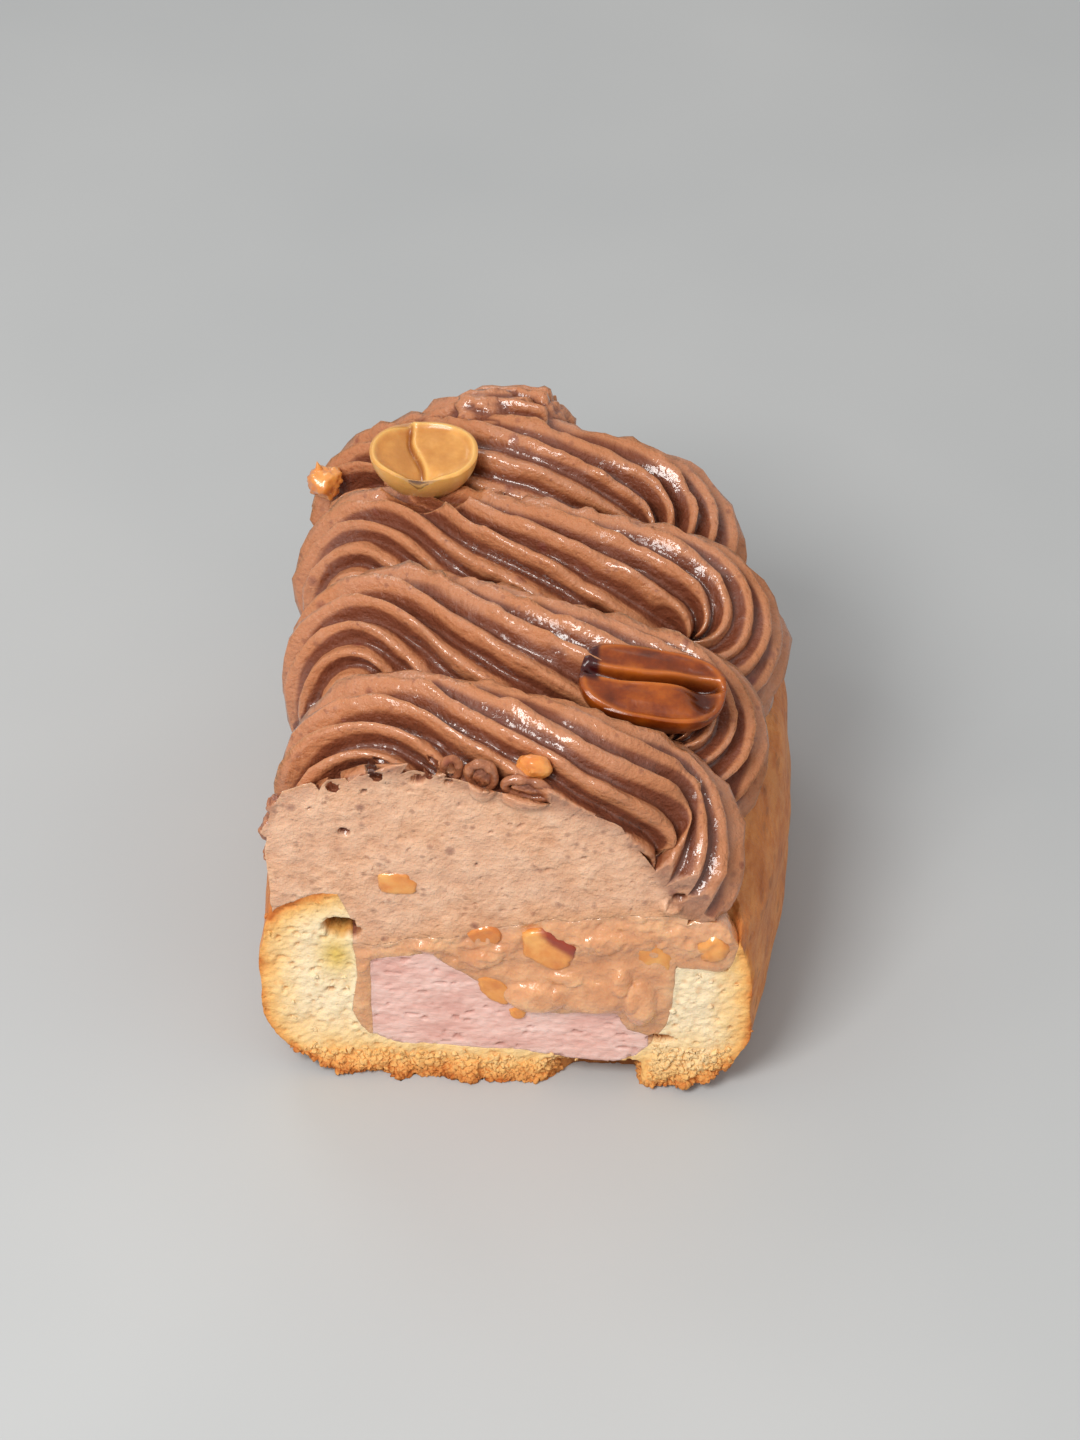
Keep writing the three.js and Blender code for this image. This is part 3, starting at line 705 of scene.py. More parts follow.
# ---------------------------------------------------------------- cut face
class CutFace:
    """How deep the cut face lies behind y = 0, over a grid of x and z."""

    def __init__(self):
        x0, x1, z0, z1 = CUT_BOX
        self.x, self.z = np.arange(x0, x1, CUT_STEP), np.arange(z0, z1, CUT_STEP)
        self.gx, self.gz = gx, gz = np.meshgrid(self.x, self.z, indexing="ij")
        self.spot = np.stack([gx, 0 * gx, gz], -1)
        hollow = within(WALL_INSIDE, gx, gz)
        section = choux_depth(self.spot.reshape(-1, 3)).reshape(gx.shape)
        blob = oval(gx, gz, RIM_BLOB["at"][::2], RIM_BLOB["half"][::2]) < 1
        pink = hollow & within(MOUSSE, gx, gz)
        crumb = ~hollow & (gz < rim_height(gx, 0 * gx)) & (section > -0.5)
        syrup = (hollow & (gz < caramel_height(gx, 0 * gx)) & ~pink) | (blob & ~crumb)
        cream = ~(pink | crumb | syrup)
        rng = np.random.default_rng(7)
        self.detail = (self.soft(crumb) * self.crumb_relief(rng) + self.soft(pink) * self.pink_relief()
                       + self.soft(syrup) * self.syrup_relief() + self.soft(cream) * self.cream_relief(rng))
        for hole in HOLES:
            self.pit(self.detail, *hole)
        self.depth = 0.20 * fractal(self.spot, 9, 81) + self.detail

    def soft(self, mask):
        """A mask with its border eased over a few cells."""
        value = mask.astype(float)
        for _ in range(3):
            for axis in (0, 1):
                value = (np.roll(value, 1, axis) + 2 * value + np.roll(value, -1, axis)) / 4
        return value

    def pit(self, depth, at, half, deep):
        """Presses an elliptic pit with uneven edges into a grid of depths."""
        reach = max(half) * 1.8
        ix = np.searchsorted(self.x, (at[0] - reach, at[0] + reach))
        iz = np.searchsorted(self.z, (at[1] - reach, at[1] + reach))
        part = (slice(*ix), slice(*iz))
        far = np.sqrt(oval(self.gx[part], self.gz[part], at, half))
        far = far + 0.22 * noise(self.spot[part], 0.6, 83)
        depth[part] = np.maximum(depth[part], deep * (1 - smooth(0.55, 1.1, far)))

    def raise_lump(self, depth, at, half, high):
        """Lets a smooth rounded lump stand out of a grid of depths."""
        depth -= high * np.sqrt(np.clip(1 - oval(self.gx, self.gz, at, half), 0, 1))

    def crumb_relief(self, rng):
        """Pores all over, and the ragged crust along the bottom."""
        x, z, spot = self.gx, self.gz, self.spot
        crumb = 0.11 * noise(spot, 0.45, 84) + 0.15 * fractal(spot, 1.5, 85)
        pores = np.zeros_like(x)
        for _ in range(CRUMB_PORES):
            size = rng.uniform(0.12, 0.30)
            at = (rng.uniform(-24, 25), rng.uniform(0, 25))
            self.pit(pores, at, (size * rng.uniform(0.8, 1.4), size), size * rng.uniform(0.8, 1.5))
        ragged = smooth(-20.5, -17, x) * smooth(6.0, 3.0, x) * smooth(2.6, 0.3, z)
        crumb = crumb + pores - ragged * (0.65 + 0.65 * noise(spot, 1.4, 86))
        crumb = crumb + 2.6 * smooth(3.5, 8.0, x) * smooth(14.0, 13.0, x) * smooth(3.2, 2.4, z)
        foot = smooth(13.5, 16, x) * smooth(24, 21.5, x) * smooth(5.5, 1.0, z)
        return crumb - foot * (0.75 + 0.6 * noise(spot, 1.2, 87))

    def pink_relief(self):
        """A fine grain with short level tears."""
        spot = self.spot
        pink = 0.07 * fractal(spot, (1.1, 1, 0.6), 88) + 0.06 * noise(spot, 0.45, 89)
        tears = noise(spot, (1.5, 1, 0.42), 90) + 0.5 * noise(spot, (0.6, 1, 0.35), 91)
        return pink + 0.30 * smooth(0.66, 1.0, tears)

    def syrup_relief(self):
        """Wet clots below the cream and smoother bulges lower down."""
        spot, below = self.spot, caramel_height(self.gx, 0 * self.gx) - self.gz
        clots = smooth(6.5, 3.0, below)
        depth = -0.30 * smooth(0.0, 3.5, below) + 0.32 * fractal(spot, (3.6, 1, 2.6), 92)
        depth = depth + clots * (0.34 * fractal(spot, (1.5, 1, 0.9), 93) + 0.12 * noise(spot, 0.5, 96))
        for bulge in BULGES:
            self.raise_lump(depth, *bulge)
        return depth

    def cream_relief(self, rng):
        """A soft surface with pores, some larger bubbles and a few lumps."""
        cream = 0.07 * fractal(self.spot, (2.6, 1, 1.8), 94) + 0.025 * noise(self.spot, 0.5, 95)
        pits = np.zeros_like(self.gx)
        for _ in range(CREAM_PORES):
            size = rng.uniform(0.08, 0.20)
            self.pit(pits, (rng.uniform(-23, 21), rng.uniform(19, 41)), (size * 1.2, size), size * 1.2)
        for bx, bz, size, deep in BUBBLES:
            self.pit(pits, (bx, bz), (size, size * 0.85), deep)
        for raised in CREAM_LUMPS:
            self.raise_lump(cream, *raised)
        return cream + pits

    def cutter(self):
        """The solid in front of the cut face."""
        piece = sheet_solid("cutter", self.depth, self.x, self.z, -60)
        move_points(piece, points_of(piece)[:, [0, 2, 1]])
        piece.data.flip_normals()
        return piece

    def read(self, grid, points):
        """A grid's value at each point's x and z."""
        fx = np.clip((points[:, 0] - self.x[0]) / CUT_STEP, 0, len(self.x) - 1.001)
        fz = np.clip((points[:, 2] - self.z[0]) / CUT_STEP, 0, len(self.z) - 1.001)
        ix, iz = fx.astype(int), fz.astype(int)
        ax, az = fx - ix, fz - iz
        return (grid[ix, iz] * (1 - ax) * (1 - az) + grid[ix + 1, iz] * ax * (1 - az)
                + grid[ix, iz + 1] * (1 - ax) * az + grid[ix + 1, iz + 1] * ax * az)

    def mark(self, piece, share=1.0):
        """Notes which vertices lie on the cut and how hollow the cut is there; the materials use the
        hollowness to paint shade into pits and holes.
        """
        points = points_of(piece)
        near = np.abs(points[:, 1] - self.read(self.depth, points)) < ON_CUT
        note(piece, "cut", near * share)
        note(piece, "hollow", np.where(near, self.read(self.detail, points), 0))


# ---------------------------------------------------------------- nuts
def roasted_top(x, y, edge, spot):
    """The flat side of the roasted half: its height, where painted shade darkens its groove and germ pit,
    and where its lips are.
    """
    beside = y - 0.10 - 0.10 * np.sin(2.4 * x)
    groove = hump(beside, 0, 0.085) * smooth(1.0, 0.8, edge)
    lips = hump(np.abs(beside), 0.17, 0.06) * smooth(1.0, 0.8, edge)
    germ = np.exp(-(((x - 0.66 + 0.2 * y) / 0.20) ** 2 + ((y + 0.15) / 0.42) ** 2))
    lobes = np.sin(math.pi * np.clip(np.abs(beside) / 0.9, 0, 1)) ** 0.7
    top = 0.55 * lobes - 0.8 * groove - 1.2 * germ + 0.25 * lips + 0.12 * noise(spot, (3.0, 0.6, 1), 5)
    return top, 0.8 * groove + 1.2 * germ, lips


def blanched_top(x, y, edge, spot):
    """The same for the pale half, with a step beside its line and a chip in its edge; painted shade darkens
    its line and the lowered side of the step.
    """
    beside = x - (-0.28 + 0.30 * smooth(0.5, -0.7, y))
    groove = hump(beside, 0, 0.045) * smooth(1.0, 0.9, edge)
    step = smooth(0.02, -0.05, beside) * hump(beside, 0, 0.38)
    chip = np.exp(-oval(x, y, (0.02, -0.92), (0.22, 0.26)))
    lips = 0.8 * hump(beside, 0.06, 0.05) + 0.6 * chip
    top = (-0.30 * smooth(0.95, 0.75, edge) - 0.55 * groove - 0.6 * step - 1.1 * chip
           + 0.08 * noise(spot, 1.8, 5))
    return top, 0.9 * groove + 0.35 * step, lips


def peanut_half(name):
    """Half a peanut, flat side up, with its groove, its germ pit and a rounded underside."""
    data = PEANUTS[name]
    length, width, depth = data["size"]
    roasted = name.endswith("roasted")
    theta = np.linspace(0, 2 * math.pi, PEANUT_LONG, endpoint=False)
    phi = np.linspace(-math.pi / 2, math.pi / 2, PEANUT_CROSS)[1:-1]
    edge = np.cos(phi)[:, None] * np.ones_like(theta)
    x, y = (edge * np.sign(way) * np.abs(way) ** (2 / data["blunt"])
            for way in (np.cos(theta), np.sin(theta)))
    z = np.sin(phi)[:, None] * np.ones_like(theta)
    spot = np.stack([x * length / 2, y * width / 2, 0 * x], -1)
    rim = hump(edge, 0.93, 0.05)
    top, dark, lips = (roasted_top if roasted else blanched_top)(x, y, edge, spot)
    narrow = 1 - data["taper"] * x
    under = z * depth * (1 - 0.10 * np.cos(2 * theta)) + 0.12 * fractal(spot, 2.2, 6)
    height = np.where(z > 0, (top + 0.16 * rim) * smooth(0, 0.12, z), under)
    rings = np.stack([x * length / 2, y * width / 2 * narrow, height], -1)
    caps = np.array([[0, 0, -depth], [0, 0, float(top[-1].mean())]])
    yaw, pitch, roll = (Matrix.Rotation(math.radians(data[label]), 3, axis)
                        for label, axis in (("yaw", "Z"), ("pitch", "Y"), ("roll", "X")))
    turn, at = np.array(yaw @ pitch @ roll).T, np.array(data["at"])
    piece = tube(name + "_kernel", rings @ turn + at, caps @ turn + at)
    upper = z > 0
    cap = smooth(-0.70, -0.78, x + 0.10 * y) * smooth(-0.35, -0.2, y) if roasted else 0 * x
    lips = np.where(upper, np.clip(lips + 0.7 * rim, 0, 1), 0 if roasted else 0.7)
    # The groove value carries painted shade for the groove and germ pit.
    for label, values in (("groove", np.clip(dark, 0, 1) * upper), ("lips", lips), ("skin", cap)):
        note(piece, label, np.append(values.ravel(), [0, 0]))
    return piece


def chopped_nut(name, at, half, turn, seed, rough=0.20, proud=0.26):
    """A chopped piece of nut; the crumb at the side also has a torn spike."""
    piece = lump(name + "_chopped", at, half, turn, seed, rough, 0.7, proud)
    return combine(piece, hook(*SPIKE), "UNION") if name == "nut_crumb_on_side" else piece


# ---------------------------------------------------------------- nodes
def srgb(colour):
    """A colour from 0 to 255 as the shader wants it."""
    return (*(((c / 255 + 0.055) / 1.055) ** 2.4 if c > 10 else c / 255 / 12.92 for c in colour), 1)


class Nodes:
    """Makes nodes in one tree. A value is a number or another node's output."""

    def __init__(self, tree):
        self.tree = tree

    def add(self, kind, inputs=None, **settings):
        """One node with its settings and inputs."""
        node = self.tree.nodes.new(kind)
        for name, value in settings.items():
            setattr(node, name, value)
        for name, value in (inputs or {}).items():
            self.give(node.inputs[name], value)
        return node

    def give(self, socket, value):
        if isinstance(value, bpy.types.NodeSocket):
            self.tree.links.new(value, socket)
        else:
            socket.default_value = value

    def maths(self, operation, *values, clamp=False):
        return self.add("ShaderNodeMath", dict(enumerate(values)), operation=operation,
                        use_clamp=clamp).outputs[0]

    plus = partialmethod(maths, "ADD")
    minus = partialmethod(maths, "SUBTRACT")
    times = partialmethod(maths, "MULTIPLY")
    over = partialmethod(maths, "DIVIDE")
    most = partialmethod(maths, "MAXIMUM")

    def noise(self, place, scale, detail=3.0, output="Fac", **more):
        return self.add("ShaderNodeTexNoise", {"Vector": place, "Scale": scale, "Detail": detail,
                                               **more}).outputs[output]

    def ramp(self, factor, *stops):
        """A colour ramp from (place, colour) stops."""
        node = self.add("ShaderNodeValToRGB", {"Fac": factor})
        band = node.color_ramp.elements
        for number, (place, colour) in enumerate((stops[0], stops[-1])):
            band[number].position, band[number].color = place, srgb(colour)
        for place, colour in stops[1:-1]:
            band.new(place).color = srgb(colour)
        return node.outputs["Color"]

    def blend(self, share, first, second):
        """Mixes two colours, each from 0 to 255 or another node's output."""
        node = self.add("ShaderNodeMix", data_type="RGBA", clamp_factor=True)
        self.give(node.inputs["Factor"], share)
        for socket, colour in zip([s for s in node.inputs if s.type == "RGBA"], (first, second)):
            self.give(socket, srgb(colour) if isinstance(colour, tuple) else colour)
        return next(socket for socket in node.outputs if socket.type == "RGBA")

    def stored(self, name):
        """What `note` stored on the piece."""
        return self.add("ShaderNodeAttribute", attribute_name=name, attribute_type="GEOMETRY").outputs["Fac"]

    def stretched(self, place, scale):
        return self.add("ShaderNodeMapping", {"Vector": place, "Scale": scale}).outputs["Vector"]

    def bump(self, height, strength, distance, **normal):
        return self.add("ShaderNodeBump", {"Height": height, "Strength": strength,
                                           "Distance": distance * MM, **normal}).outputs["Normal"]

    def group(self, name, *values):
        """A shared node group with its inputs in order."""
        made = bpy.data.node_groups[name]
        return self.add("ShaderNodeGroup", dict(enumerate(values)), node_tree=made).outputs

    def grain(self, place, coarse, fine, fine_share):
        return self.group("grain", place, coarse, fine, fine_share)

    def specks(self, place, scale, share, size):
        return self.group("specks", place, scale, share, size)["Mask"]


def begin_group(name, kind, *inputs):
    """A node group with its inputs, each a name, a type and a default."""
    tree = bpy.data.node_groups.new(name, kind)
    for label, sort, default in inputs:
        socket = tree.interface.new_socket(label, in_out="INPUT", socket_type="NodeSocket" + sort)
        if default is not None:
            socket.default_value = default
    return Nodes(tree), tree.nodes.new("NodeGroupInput").outputs


def end_group(group, sort, outputs):
    """Gives a node group its named outputs."""
    for label in outputs:
        group.tree.interface.new_socket(label, in_out="OUTPUT", socket_type="NodeSocket" + sort)
    group.add("NodeGroupOutput", outputs)
    return group.tree


def specks_group():
    """Small scattered specks: 1 on a speck, 0 beside it."""
    m, given = begin_group("specks", "ShaderNodeTree", ("Place", "Vector", None),
                           ("Scale", "Float", 900.0), ("Share", "Float", 0.3), ("Size", "Float", 0.4))
    spots = m.add("ShaderNodeTexVoronoi", {"Vector": given["Place"], "Scale": given["Scale"],
                                           "Randomness": 1.0}, feature="F1")
    pick = m.add("ShaderNodeSeparateColor", {"Color": spots.outputs["Color"]})
    kept = m.maths("LESS_THAN", pick.outputs[0], given["Share"])
    size = m.times(given["Size"], m.plus(pick.outputs[1], 0.35))
    near = m.minus(1.0, m.over(spots.outputs["Distance"], size), clamp=True)
    return end_group(m, "Float", {"Mask": m.times(m.maths("POWER", near, 0.6), kept)})


def grain_group():
    """Coarse and fine unevenness in one height."""
    m, given = begin_group("grain", "ShaderNodeTree", ("Place", "Vector", None),
                           ("Coarse", "Float", 300.0), ("Fine", "Float", 1400.0),
                           ("Fine share", "Float", 0.4))
    coarse = m.noise(given["Place"], given["Coarse"], 4.0, Roughness=0.6)
    fine = m.noise(given["Place"], given["Fine"], 3.0, Roughness=0.55)
    total = m.plus(coarse, m.times(fine, given["Fine share"]))
    return end_group(m, "Float", {"Height": total, "Coarse": coarse, "Fine": fine})


def crumb_tree():
    """Geometry Nodes: small rough lumps over the faces that the attribute "crumbly" picks out."""
    m, given = begin_group("scatter_crumbs", "GeometryNodeTree", ("Geometry", "Geometry", None),
                           ("Density", "Float", 13.0), ("Smallest", "Float", 0.10),
                           ("Largest", "Float", 0.32), ("Seed", "Int", 4), ("Material", "Material", None))
    crumbly = m.add("GeometryNodeInputNamedAttribute", {"Name": "crumbly"}, data_type="FLOAT").outputs[0]
    points = m.add("GeometryNodeDistributePointsOnFaces",
                   {"Mesh": given["Geometry"], "Density": m.times(crumbly, given["Density"]),
                    "Seed": given["Seed"]}, distribute_method="RANDOM")
    grit = m.add("GeometryNodeMeshIcoSphere", {"Radius": 1.0, "Subdivisions": 2})
    place = m.add("GeometryNodeInputPosition").outputs[0]
    size = m.add("FunctionNodeRandomValue", {"Min": given["Smallest"], "Max": given["Largest"],
                                             "Seed": given["Seed"]}, data_type="FLOAT")
    spin = m.add("FunctionNodeRandomValue", {"Max": (6.28, 6.28, 6.28)}, data_type="FLOAT_VECTOR")
    scatter = m.add("GeometryNodeInstanceOnPoints",
                    {"Points": points.outputs["Points"], "Instance": grit.outputs["Mesh"],
                     "Rotation": spin.outputs[0], "Scale": size.outputs[1]})
    real = m.add("GeometryNodeRealizeInstances", {"Geometry": scatter.outputs["Instances"]})
    lumps = m.noise(place, 1.9, output="Color")
    push = m.add("ShaderNodeVectorMath", {0: lumps, 1: (0.5, 0.5, 0.5)}, operation="SUBTRACT")
    push = m.add("ShaderNodeVectorMath", {0: push.outputs[0], "Scale": 1.1}, operation="SCALE")
    moved = m.add("GeometryNodeSetPosition", {"Geometry": real.outputs[0], "Offset": push.outputs[0]})
    dressed = m.add("GeometryNodeSetMaterial", {"Geometry": moved.outputs[0],
                                                "Material": given["Material"]})
    return end_group(m, "Geometry", {"Geometry": dressed.outputs[0]})


def scattered(source, name, tree, finish):
    """What a scatter tree lays over a piece, as a piece of its own."""
    piece = copy_of(source, name)
    step = piece.modifiers.new("scatter", "NODES")
    step.node_group = tree
    for item in tree.interface.items_tree:
        if item.in_out == "INPUT" and item.name == "Material":
            step[item.identifier] = finish
    return applied(piece, step)


# ---------------------------------------------------------------- materials
class Finish(Nodes):
    """A new material, with the constant values set on its Principled shader."""

    def __init__(self, name, soft=None, **constants):
        self.made = bpy.data.materials.new(name)
        self.made.use_nodes = True
        super().__init__(self.made.node_tree)
        self.shader = self.tree.nodes["Principled BSDF"]
        if soft:
            weight, radius = soft
            constants.update(Subsurface_Weight=weight, Subsurface_Radius=radius, Subsurface_Scale=1.0)
        for label, value in constants.items():
            self.shader.inputs[label.replace("_", " ")].default_value = value
        self.place = self.add("ShaderNodeTexCoord").outputs["Object"]

    def feed(self, **values):
        """Links what varies over the surface to the shader, and gives the material."""
        for label, value in values.items():
            self.tree.links.new(value, self.shader.inputs[label.replace("_", " ")])
        return self.made


def choux_material():
    """Browned, streaked crust outside and pale, open crumb where it is cut, with painted shade in its pits
    and holes.
    """
    m = Finish("baked_choux", (0.12, (0.0022, 0.0014, 0.0007)), Specular_IOR_Level=0.35)
    depth, hollow = m.stored("depth"), m.stored("hollow")
    soft = m.grain(m.place, 420.0, 1900.0, 0.5)
    along_y = m.stretched(m.place, (1.0, 0.42, 1.0))
    skin = m.grain(along_y, 330.0, 1500.0, 0.6)
    wander = m.times(m.minus(soft["Coarse"], 0.5), 2.6)
    crumb = m.ramp(m.over(m.plus(depth, wander), 5.0), (0.0, (188, 104, 42)), (0.08, (222, 148, 76)),
                   (0.22, (238, 184, 112)), (0.45, (243, 206, 148)), (0.9, (244, 222, 184)))
    # Painted shade: the crumb turns darker and more orange where the cut face sinks into pores and holes,
    # and dark brown where it sinks deepest.
    crumb = m.blend(m.times(hollow, 0.9, clamp=True), crumb, (206, 134, 68))
    deeper = m.times(m.minus(hollow, 1.6, clamp=True), 0.8, clamp=True)
    crumb = m.blend(deeper, crumb, (120, 62, 26))
    crust = m.ramp(m.noise(m.place, 95.0), (0.30, (164, 86, 32)), (0.5, (196, 110, 42)),
                   (0.70, (224, 144, 64)))
    lines = m.ramp(skin["Height"], (0.50, (118, 62, 28)), (0.72, (194, 118, 60)), (0.95, (228, 162, 98)))
    crust = m.blend(0.45, crust, lines)
    crust = m.blend(m.times(m.specks(along_y, 1100.0, 0.30, 0.5), 0.45), crust, (106, 58, 30))
    crumb = m.blend(m.times(m.specks(m.place, 1500.0, 0.22, 0.45), 0.4), crumb, (206, 132, 66))
    crumb = m.blend(m.stored("moist"), crumb, (218, 184, 98))
    inside = m.minus(m.times(depth, 0.8), 0.55, clamp=True)
    is_crumb = m.most(m.stored("cut"), inside, clamp=True)
    wrinkles = m.bump(skin["Height"], 0.45, 0.22)
    return m.feed(Base_Color=m.blend(is_crumb, crust, crumb),
                  Roughness=m.plus(0.50, m.times(is_crumb, 0.3)),
                  Normal=m.bump(soft["Height"], 0.9, 0.4, Normal=wrinkles))


def cream_material():
    """Chocolate cream: painted shade darkens the grooves and painted light brightens the crests; it is paler
    where it is cut, with painted shade in the pits of the cut.
    """
    m = Finish("whipped_chocolate_cream", (0.16, (0.0020, 0.0011, 0.0007)), Specular_IOR_Level=0.35,
               Coat_Roughness=0.11)
    syrup = m.stored("syrup")
    soft = m.grain(m.place, 520.0, 1900.0, 0.30)
    wide = m.noise(m.place, 130.0, 4.0)
    piped = m.ramp(wide, (0.3, (116, 58, 33)), (0.5, (134, 73, 42)), (0.72, (157, 92, 58)))
    # Painted shade and painted highlight: the crest value darkens the cream in the grooves and lightens it
    # on the crests.
    high = m.plus(0.5, m.times(m.stored("crest"), 3.2), clamp=True)
    piped = m.blend(m.minus(1.0, high), piped, (112, 58, 36))
    piped = m.blend(m.times(m.minus(high, 0.5, clamp=True), 1.8), piped, (188, 124, 84))
    sliced = m.ramp(soft["Coarse"], (0.25, (206, 153, 119)), (0.5, (223, 174, 140)),
                    (0.75, (234, 189, 156)))
    # Painted shade: the cut cream is darkened in its pits and bubbles.
    sliced = m.blend(m.times(m.stored("hollow"), 1.5, clamp=True), sliced, (140, 84, 62))
    sliced = m.blend(syrup, sliced, (212, 150, 104))
    colour = m.blend(m.stored("cut"), piped, sliced)
    for scale, share, size, strength, dark in ((1250.0, 0.24, 0.36, 0.55, (118, 62, 46)),
                                               (480.0, 0.12, 0.26, 0.7, (112, 48, 42))):
        colour = m.blend(m.times(m.specks(m.place, scale, share, size), strength), colour, dark)
    wet = m.most(m.times(m.minus(wide, 0.41, clamp=True), 7.0, clamp=True), syrup, clamp=True)
    return m.feed(Base_Color=colour, Roughness=m.minus(0.60, m.times(wet, 0.16)), Coat_Weight=wet,
                  Normal=m.bump(soft["Height"], 1.0, 0.6),
                  Coat_Normal=m.bump(m.noise(m.place, 700.0), 0.8, 0.35))


def pink_material():
    m = Finish("pink_mousse", (0.18, (0.0024, 0.0014, 0.0011)), Roughness=0.55, Coat_Weight=0.12,
               Coat_Roughness=0.3)
    soft = m.grain(m.stretched(m.place, (0.55, 1.0, 1.3)), 380.0, 1700.0, 0.8)
    base = m.ramp(soft["Coarse"], (0.3, (216, 162, 150)), (0.5, (230, 184, 172)), (0.72, (240, 204, 194)))
    # Painted shade: the mousse is darkened in its tears and pits, where the cut face sinks in.
    tear_shade = m.times(m.stored("hollow"), 1.7, clamp=True)
    return m.feed(Base_Color=m.blend(tear_shade, base, (176, 106, 88)), Normal=m.bump(soft["Height"], 0.6, 0.3))


def caramel_material():
    """Wet caramel, which turns to the colour of the cream towards it."""
    m = Finish("nut_caramel", (0.25, (0.003, 0.0015, 0.0007)), Roughness=0.28, Coat_Weight=1.0,
               Coat_Roughness=0.06)
    soft = m.grain(m.place, 300.0, 1000.0, 0.2)
    base = m.ramp(soft["Coarse"], (0.3, (194, 124, 74)), (0.52, (214, 148, 98)), (0.75, (234, 178, 128)))
    return m.feed(Base_Color=m.blend(m.stored("syrup"), (223, 174, 140), base),
                  Normal=m.bump(soft["Height"], 1.0, 0.8),
                  Coat_Normal=m.bump(m.noise(m.place, 420.0), 1.0, 0.9))


def nut_material(name):
    """Nut flesh with a pale to toasted range of colours."""
    data = NUT_FINISHES[name]
    m = Finish(name, (0.22, (0.003, 0.0016, 0.0006)), Roughness=data["rough"], Specular_IOR_Level=0.35,
               Coat_Weight=data["coat"], Coat_Roughness=0.12)
    soft = m.grain(m.place, 300.0, 1500.0, 0.3)
    colour = m.ramp(soft["Coarse"], *zip((0.32, 0.5, 0.7), data["flesh"]))
    colour = m.blend(m.times(m.stored("lips"), 0.75), colour, data["lips"])
    # The groove colour is painted shade in the groove and germ pit; the skin colour is the nut's own skin.
    for label in ("groove", "skin"):
        colour = m.blend(m.stored(label), colour, data[label])
    return m.feed(Base_Color=colour, Normal=m.bump(soft["Height"], 0.4, 0.25))


def stage_material():
    m = Finish("pale_floor", Roughness=0.6)
    return m.feed(Base_Color=m.ramp(m.noise(m.place, 9.0), (0.3, (170, 173, 175)), (0.7, (182, 184, 185))))


# ---------------------------------------------------------------- stage
def make_stage(shift):
    """Camera, floor and soft light, placed round the object."""
    scene = bpy.context.scene
    turn, rise = math.radians(VIEW["turn"]), math.radians(VIEW["rise"])
    back = Vector((math.sin(turn) * math.cos(rise), -math.cos(turn) * math.cos(rise), math.sin(rise)))
    right = Vector((math.cos(turn), math.sin(turn), 0))
    look = Matrix((right, back.cross(right), back)).transposed().to_4x4()
    look.translation = (Vector(VIEW["at"]) + Vector(shift)) * MM + back * VIEW["far"] * MM
    lens = bpy.data.cameras.new("camera")
    lens.lens, lens.sensor_width, lens.clip_start = VIEW["lens"], 36.0, 0.01
    scene.camera = placed("camera", lens)
    scene.camera.matrix_world = look
    scene.world = bpy.data.worlds.new("daylight")
    scene.world.use_nodes = True
    sky = scene.world.node_tree.nodes["Background"].inputs
    sky["Color"].default_value, sky["Strength"].default_value = SKY, SKY_STRENGTH
    scene.view_settings.view_transform = "Standard"
    for name, spot, size, power in LAMPS:
        lamp = bpy.data.lights.new(name, "AREA")
        lamp.size, lamp.energy, lamp.color = size, power, LAMP_COLOUR
        aim = (Vector(LAMPS_AIM) - Vector(spot)).to_track_quat("-Z", "Y").to_matrix().to_4x4()
        placed(name, lamp).matrix_world = Matrix.Translation(spot) @ aim
    floor = mesh_piece("floor", [(-3, -3, 0), (3, -3, 0), (3, 3, 0), (-3, 3, 0)], [(0, 1, 2), (0, 2, 3)])
    floor.data.materials.append(stage_material())


def settle(piece, shift, finish, node):
    """Moves a finished piece into the part's frame and lets it stand for its node."""
    move_points(piece, (points_of(piece) + shift) * MM)
    piece.data.materials.clear()
    piece.data.materials.append(finish)
    piece.data.polygons.foreach_set("use_smooth", np.ones(len(piece.data.polygons), bool))
    piece.data.update()
    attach(piece, BODY)
    if node:
        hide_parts(node)


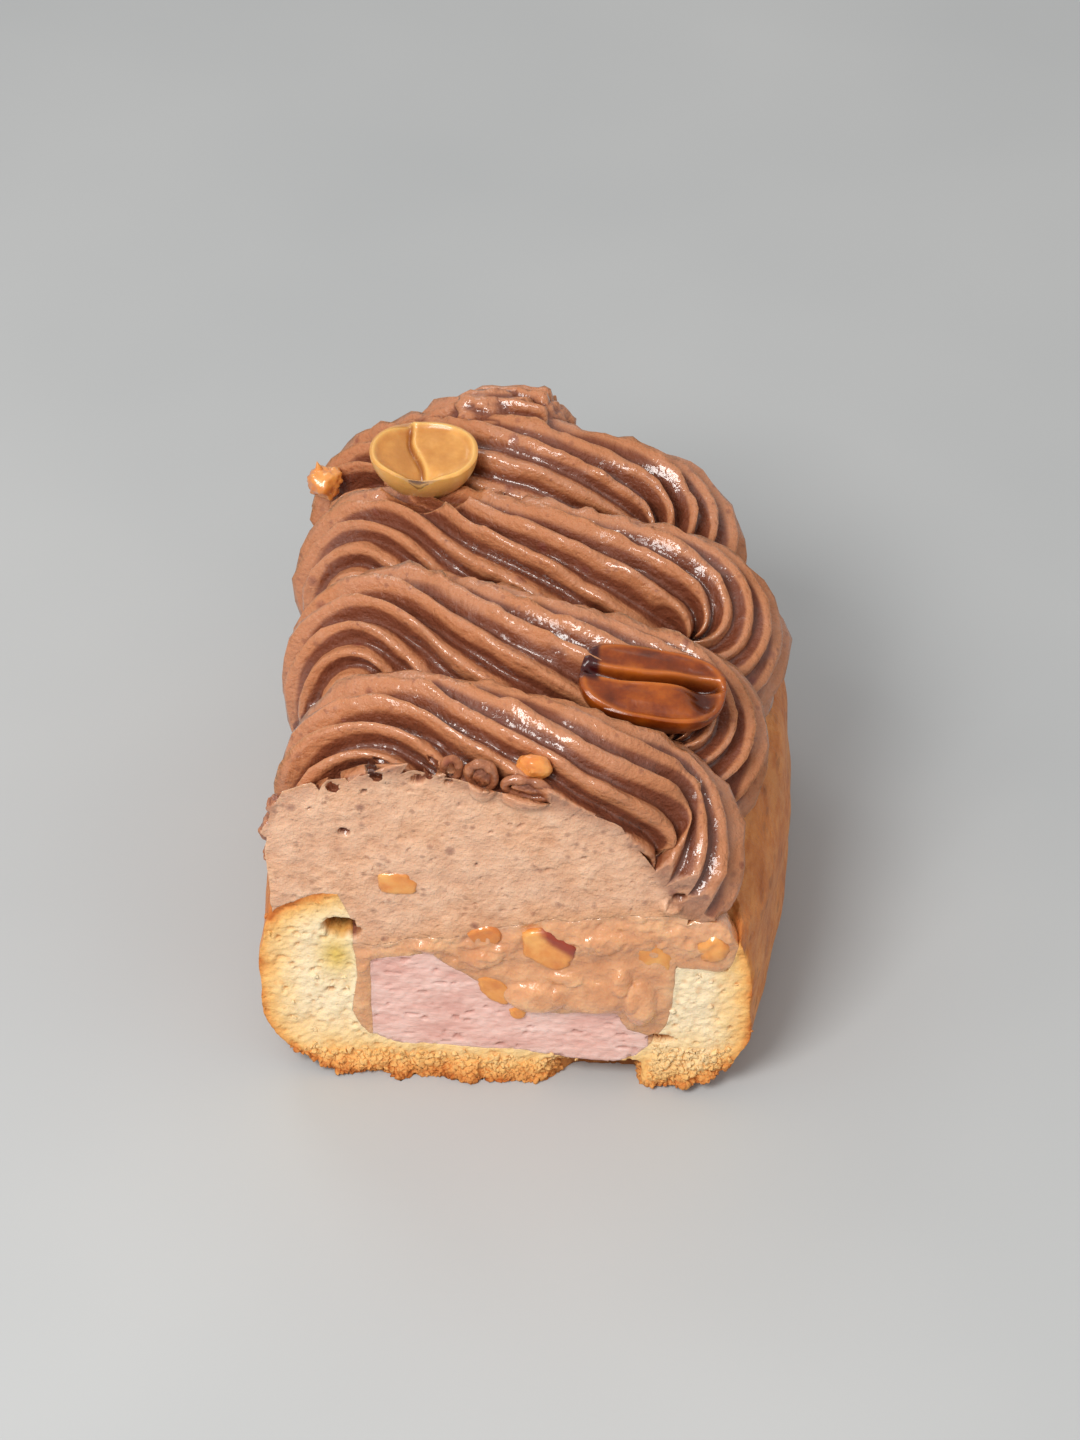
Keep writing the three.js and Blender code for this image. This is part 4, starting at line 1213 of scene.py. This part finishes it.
def make_solids():
    """The shell and its three fillings, carved at the cut, with what their materials read."""
    face = CutFace()
    cutter = face.cutter()
    hollow = trough("hollow")

    shell = loaf("choux")
    combine(shell, ground_solid("below_rim", rim_height, *RIM_GRID), "INTERSECT")
    combine(shell, hollow, "DIFFERENCE", keep=True)
    walls = copy_of(shell, "walls")

    pink = combine(mousse("mousse"), hollow, "INTERSECT", keep=True)
    layer = ground_solid("layer", caramel_height, *LAYER_GRID)
    caramel = combine(copy_of(hollow, "caramel"), layer, "INTERSECT", keep=True)
    combine(caramel, pink, "DIFFERENCE", keep=True)
    combine(caramel, lump("blob", RIM_BLOB["at"], RIM_BLOB["half"], 0, 11, 0.12), "UNION")
    combine(caramel, walls, "DIFFERENCE", keep=True)
    cream = whipped_cream(hollow, layer, walls, caramel)

    for piece in (shell, pink, caramel, cream):
        combine(piece, cutter, "DIFFERENCE", keep=True)
    remove(cutter)

    face.mark(pink)
    note(caramel, "syrup", caramel_share(points_of(caramel)))
    points = points_of(cream)
    under = along(CREAM_BODY[2:], points[:, 0]) - points[:, 2]
    face.mark(cream, mix(0.35, 1.0, smooth(-0.6, 2.4, under)))
    # The crest values are used to paint shade into the grooves and light onto the crests of the cream.
    note(cream, "crest", crests(cream))
    note(cream, "syrup", caramel_share(points) * (points[:, 0] > -13.5))
    face.mark(shell)
    points = points_of(shell)
    note(shell, "depth", choux_depth(points))
    note(shell, "moist", np.exp(-oval(points[:, 0], points[:, 2], MOIST, MOIST_HALF)))
    return shell, pink, caramel, cream


def make_crumbs(shell, finish):
    """Loose crumbs in front of the bottom crust, and a few along the cut."""
    x, y, z = points_of(shell).T
    low = smooth(3.4, 1.2, z) * (x > -20.5) * (x < 13.8) + smooth(6.5, 3.0, z) * (x > 14.6) * (x < 22.5)
    note(shell, "crumbly", np.clip(low, 0, 1) * (y < 1.2) * (y > -2) + 0.006 * (np.abs(y) < 0.8))
    crumbs = scattered(shell, "loose_crumbs", crumb_tree(), finish)
    grit = points_of(crumbs)
    move_points(crumbs, np.maximum(grit, [-99, -99, 0.02]))
    note(crumbs, "depth", 2.1 + 1.7 * noise(grit, 1.2, 98))
    note(crumbs, "cut", np.ones(len(grit)))
    return crumbs


def main():
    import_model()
    shift = np.array(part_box("choux_shell")[0]) / MM - np.array(SHELL_CORNER)
    make_stage(shift)
    grain_group()
    specks_group()
    shell, pink, caramel, cream = make_solids()

    baked = choux_material()
    settle(make_crumbs(shell, baked), shift, baked, None)
    settle(shell, shift, baked, "choux_shell")
    settle(pink, shift, pink_material(), "pink_mousse")
    settle(caramel, shift, caramel_material(), "caramel_layer")
    settle(cream, shift, cream_material(), "piped_cream")

    golden, roasted, blanched = (nut_material(name) for name in NUT_FINISHES)
    for name, finish, slot in (("peanut_half_roasted", roasted, "caramelised_peanut"),
                               ("peanut_half_blanched", blanched, "peanut")):
        settle(peanut_half(name), shift, finish, name)
    for name, data in CHUNKS.items():
        slot = "caramelised_peanut" if name == "nut_crumb_on_side" else "peanut"
        settle(chopped_nut(name, **data), shift, golden, name)


main()
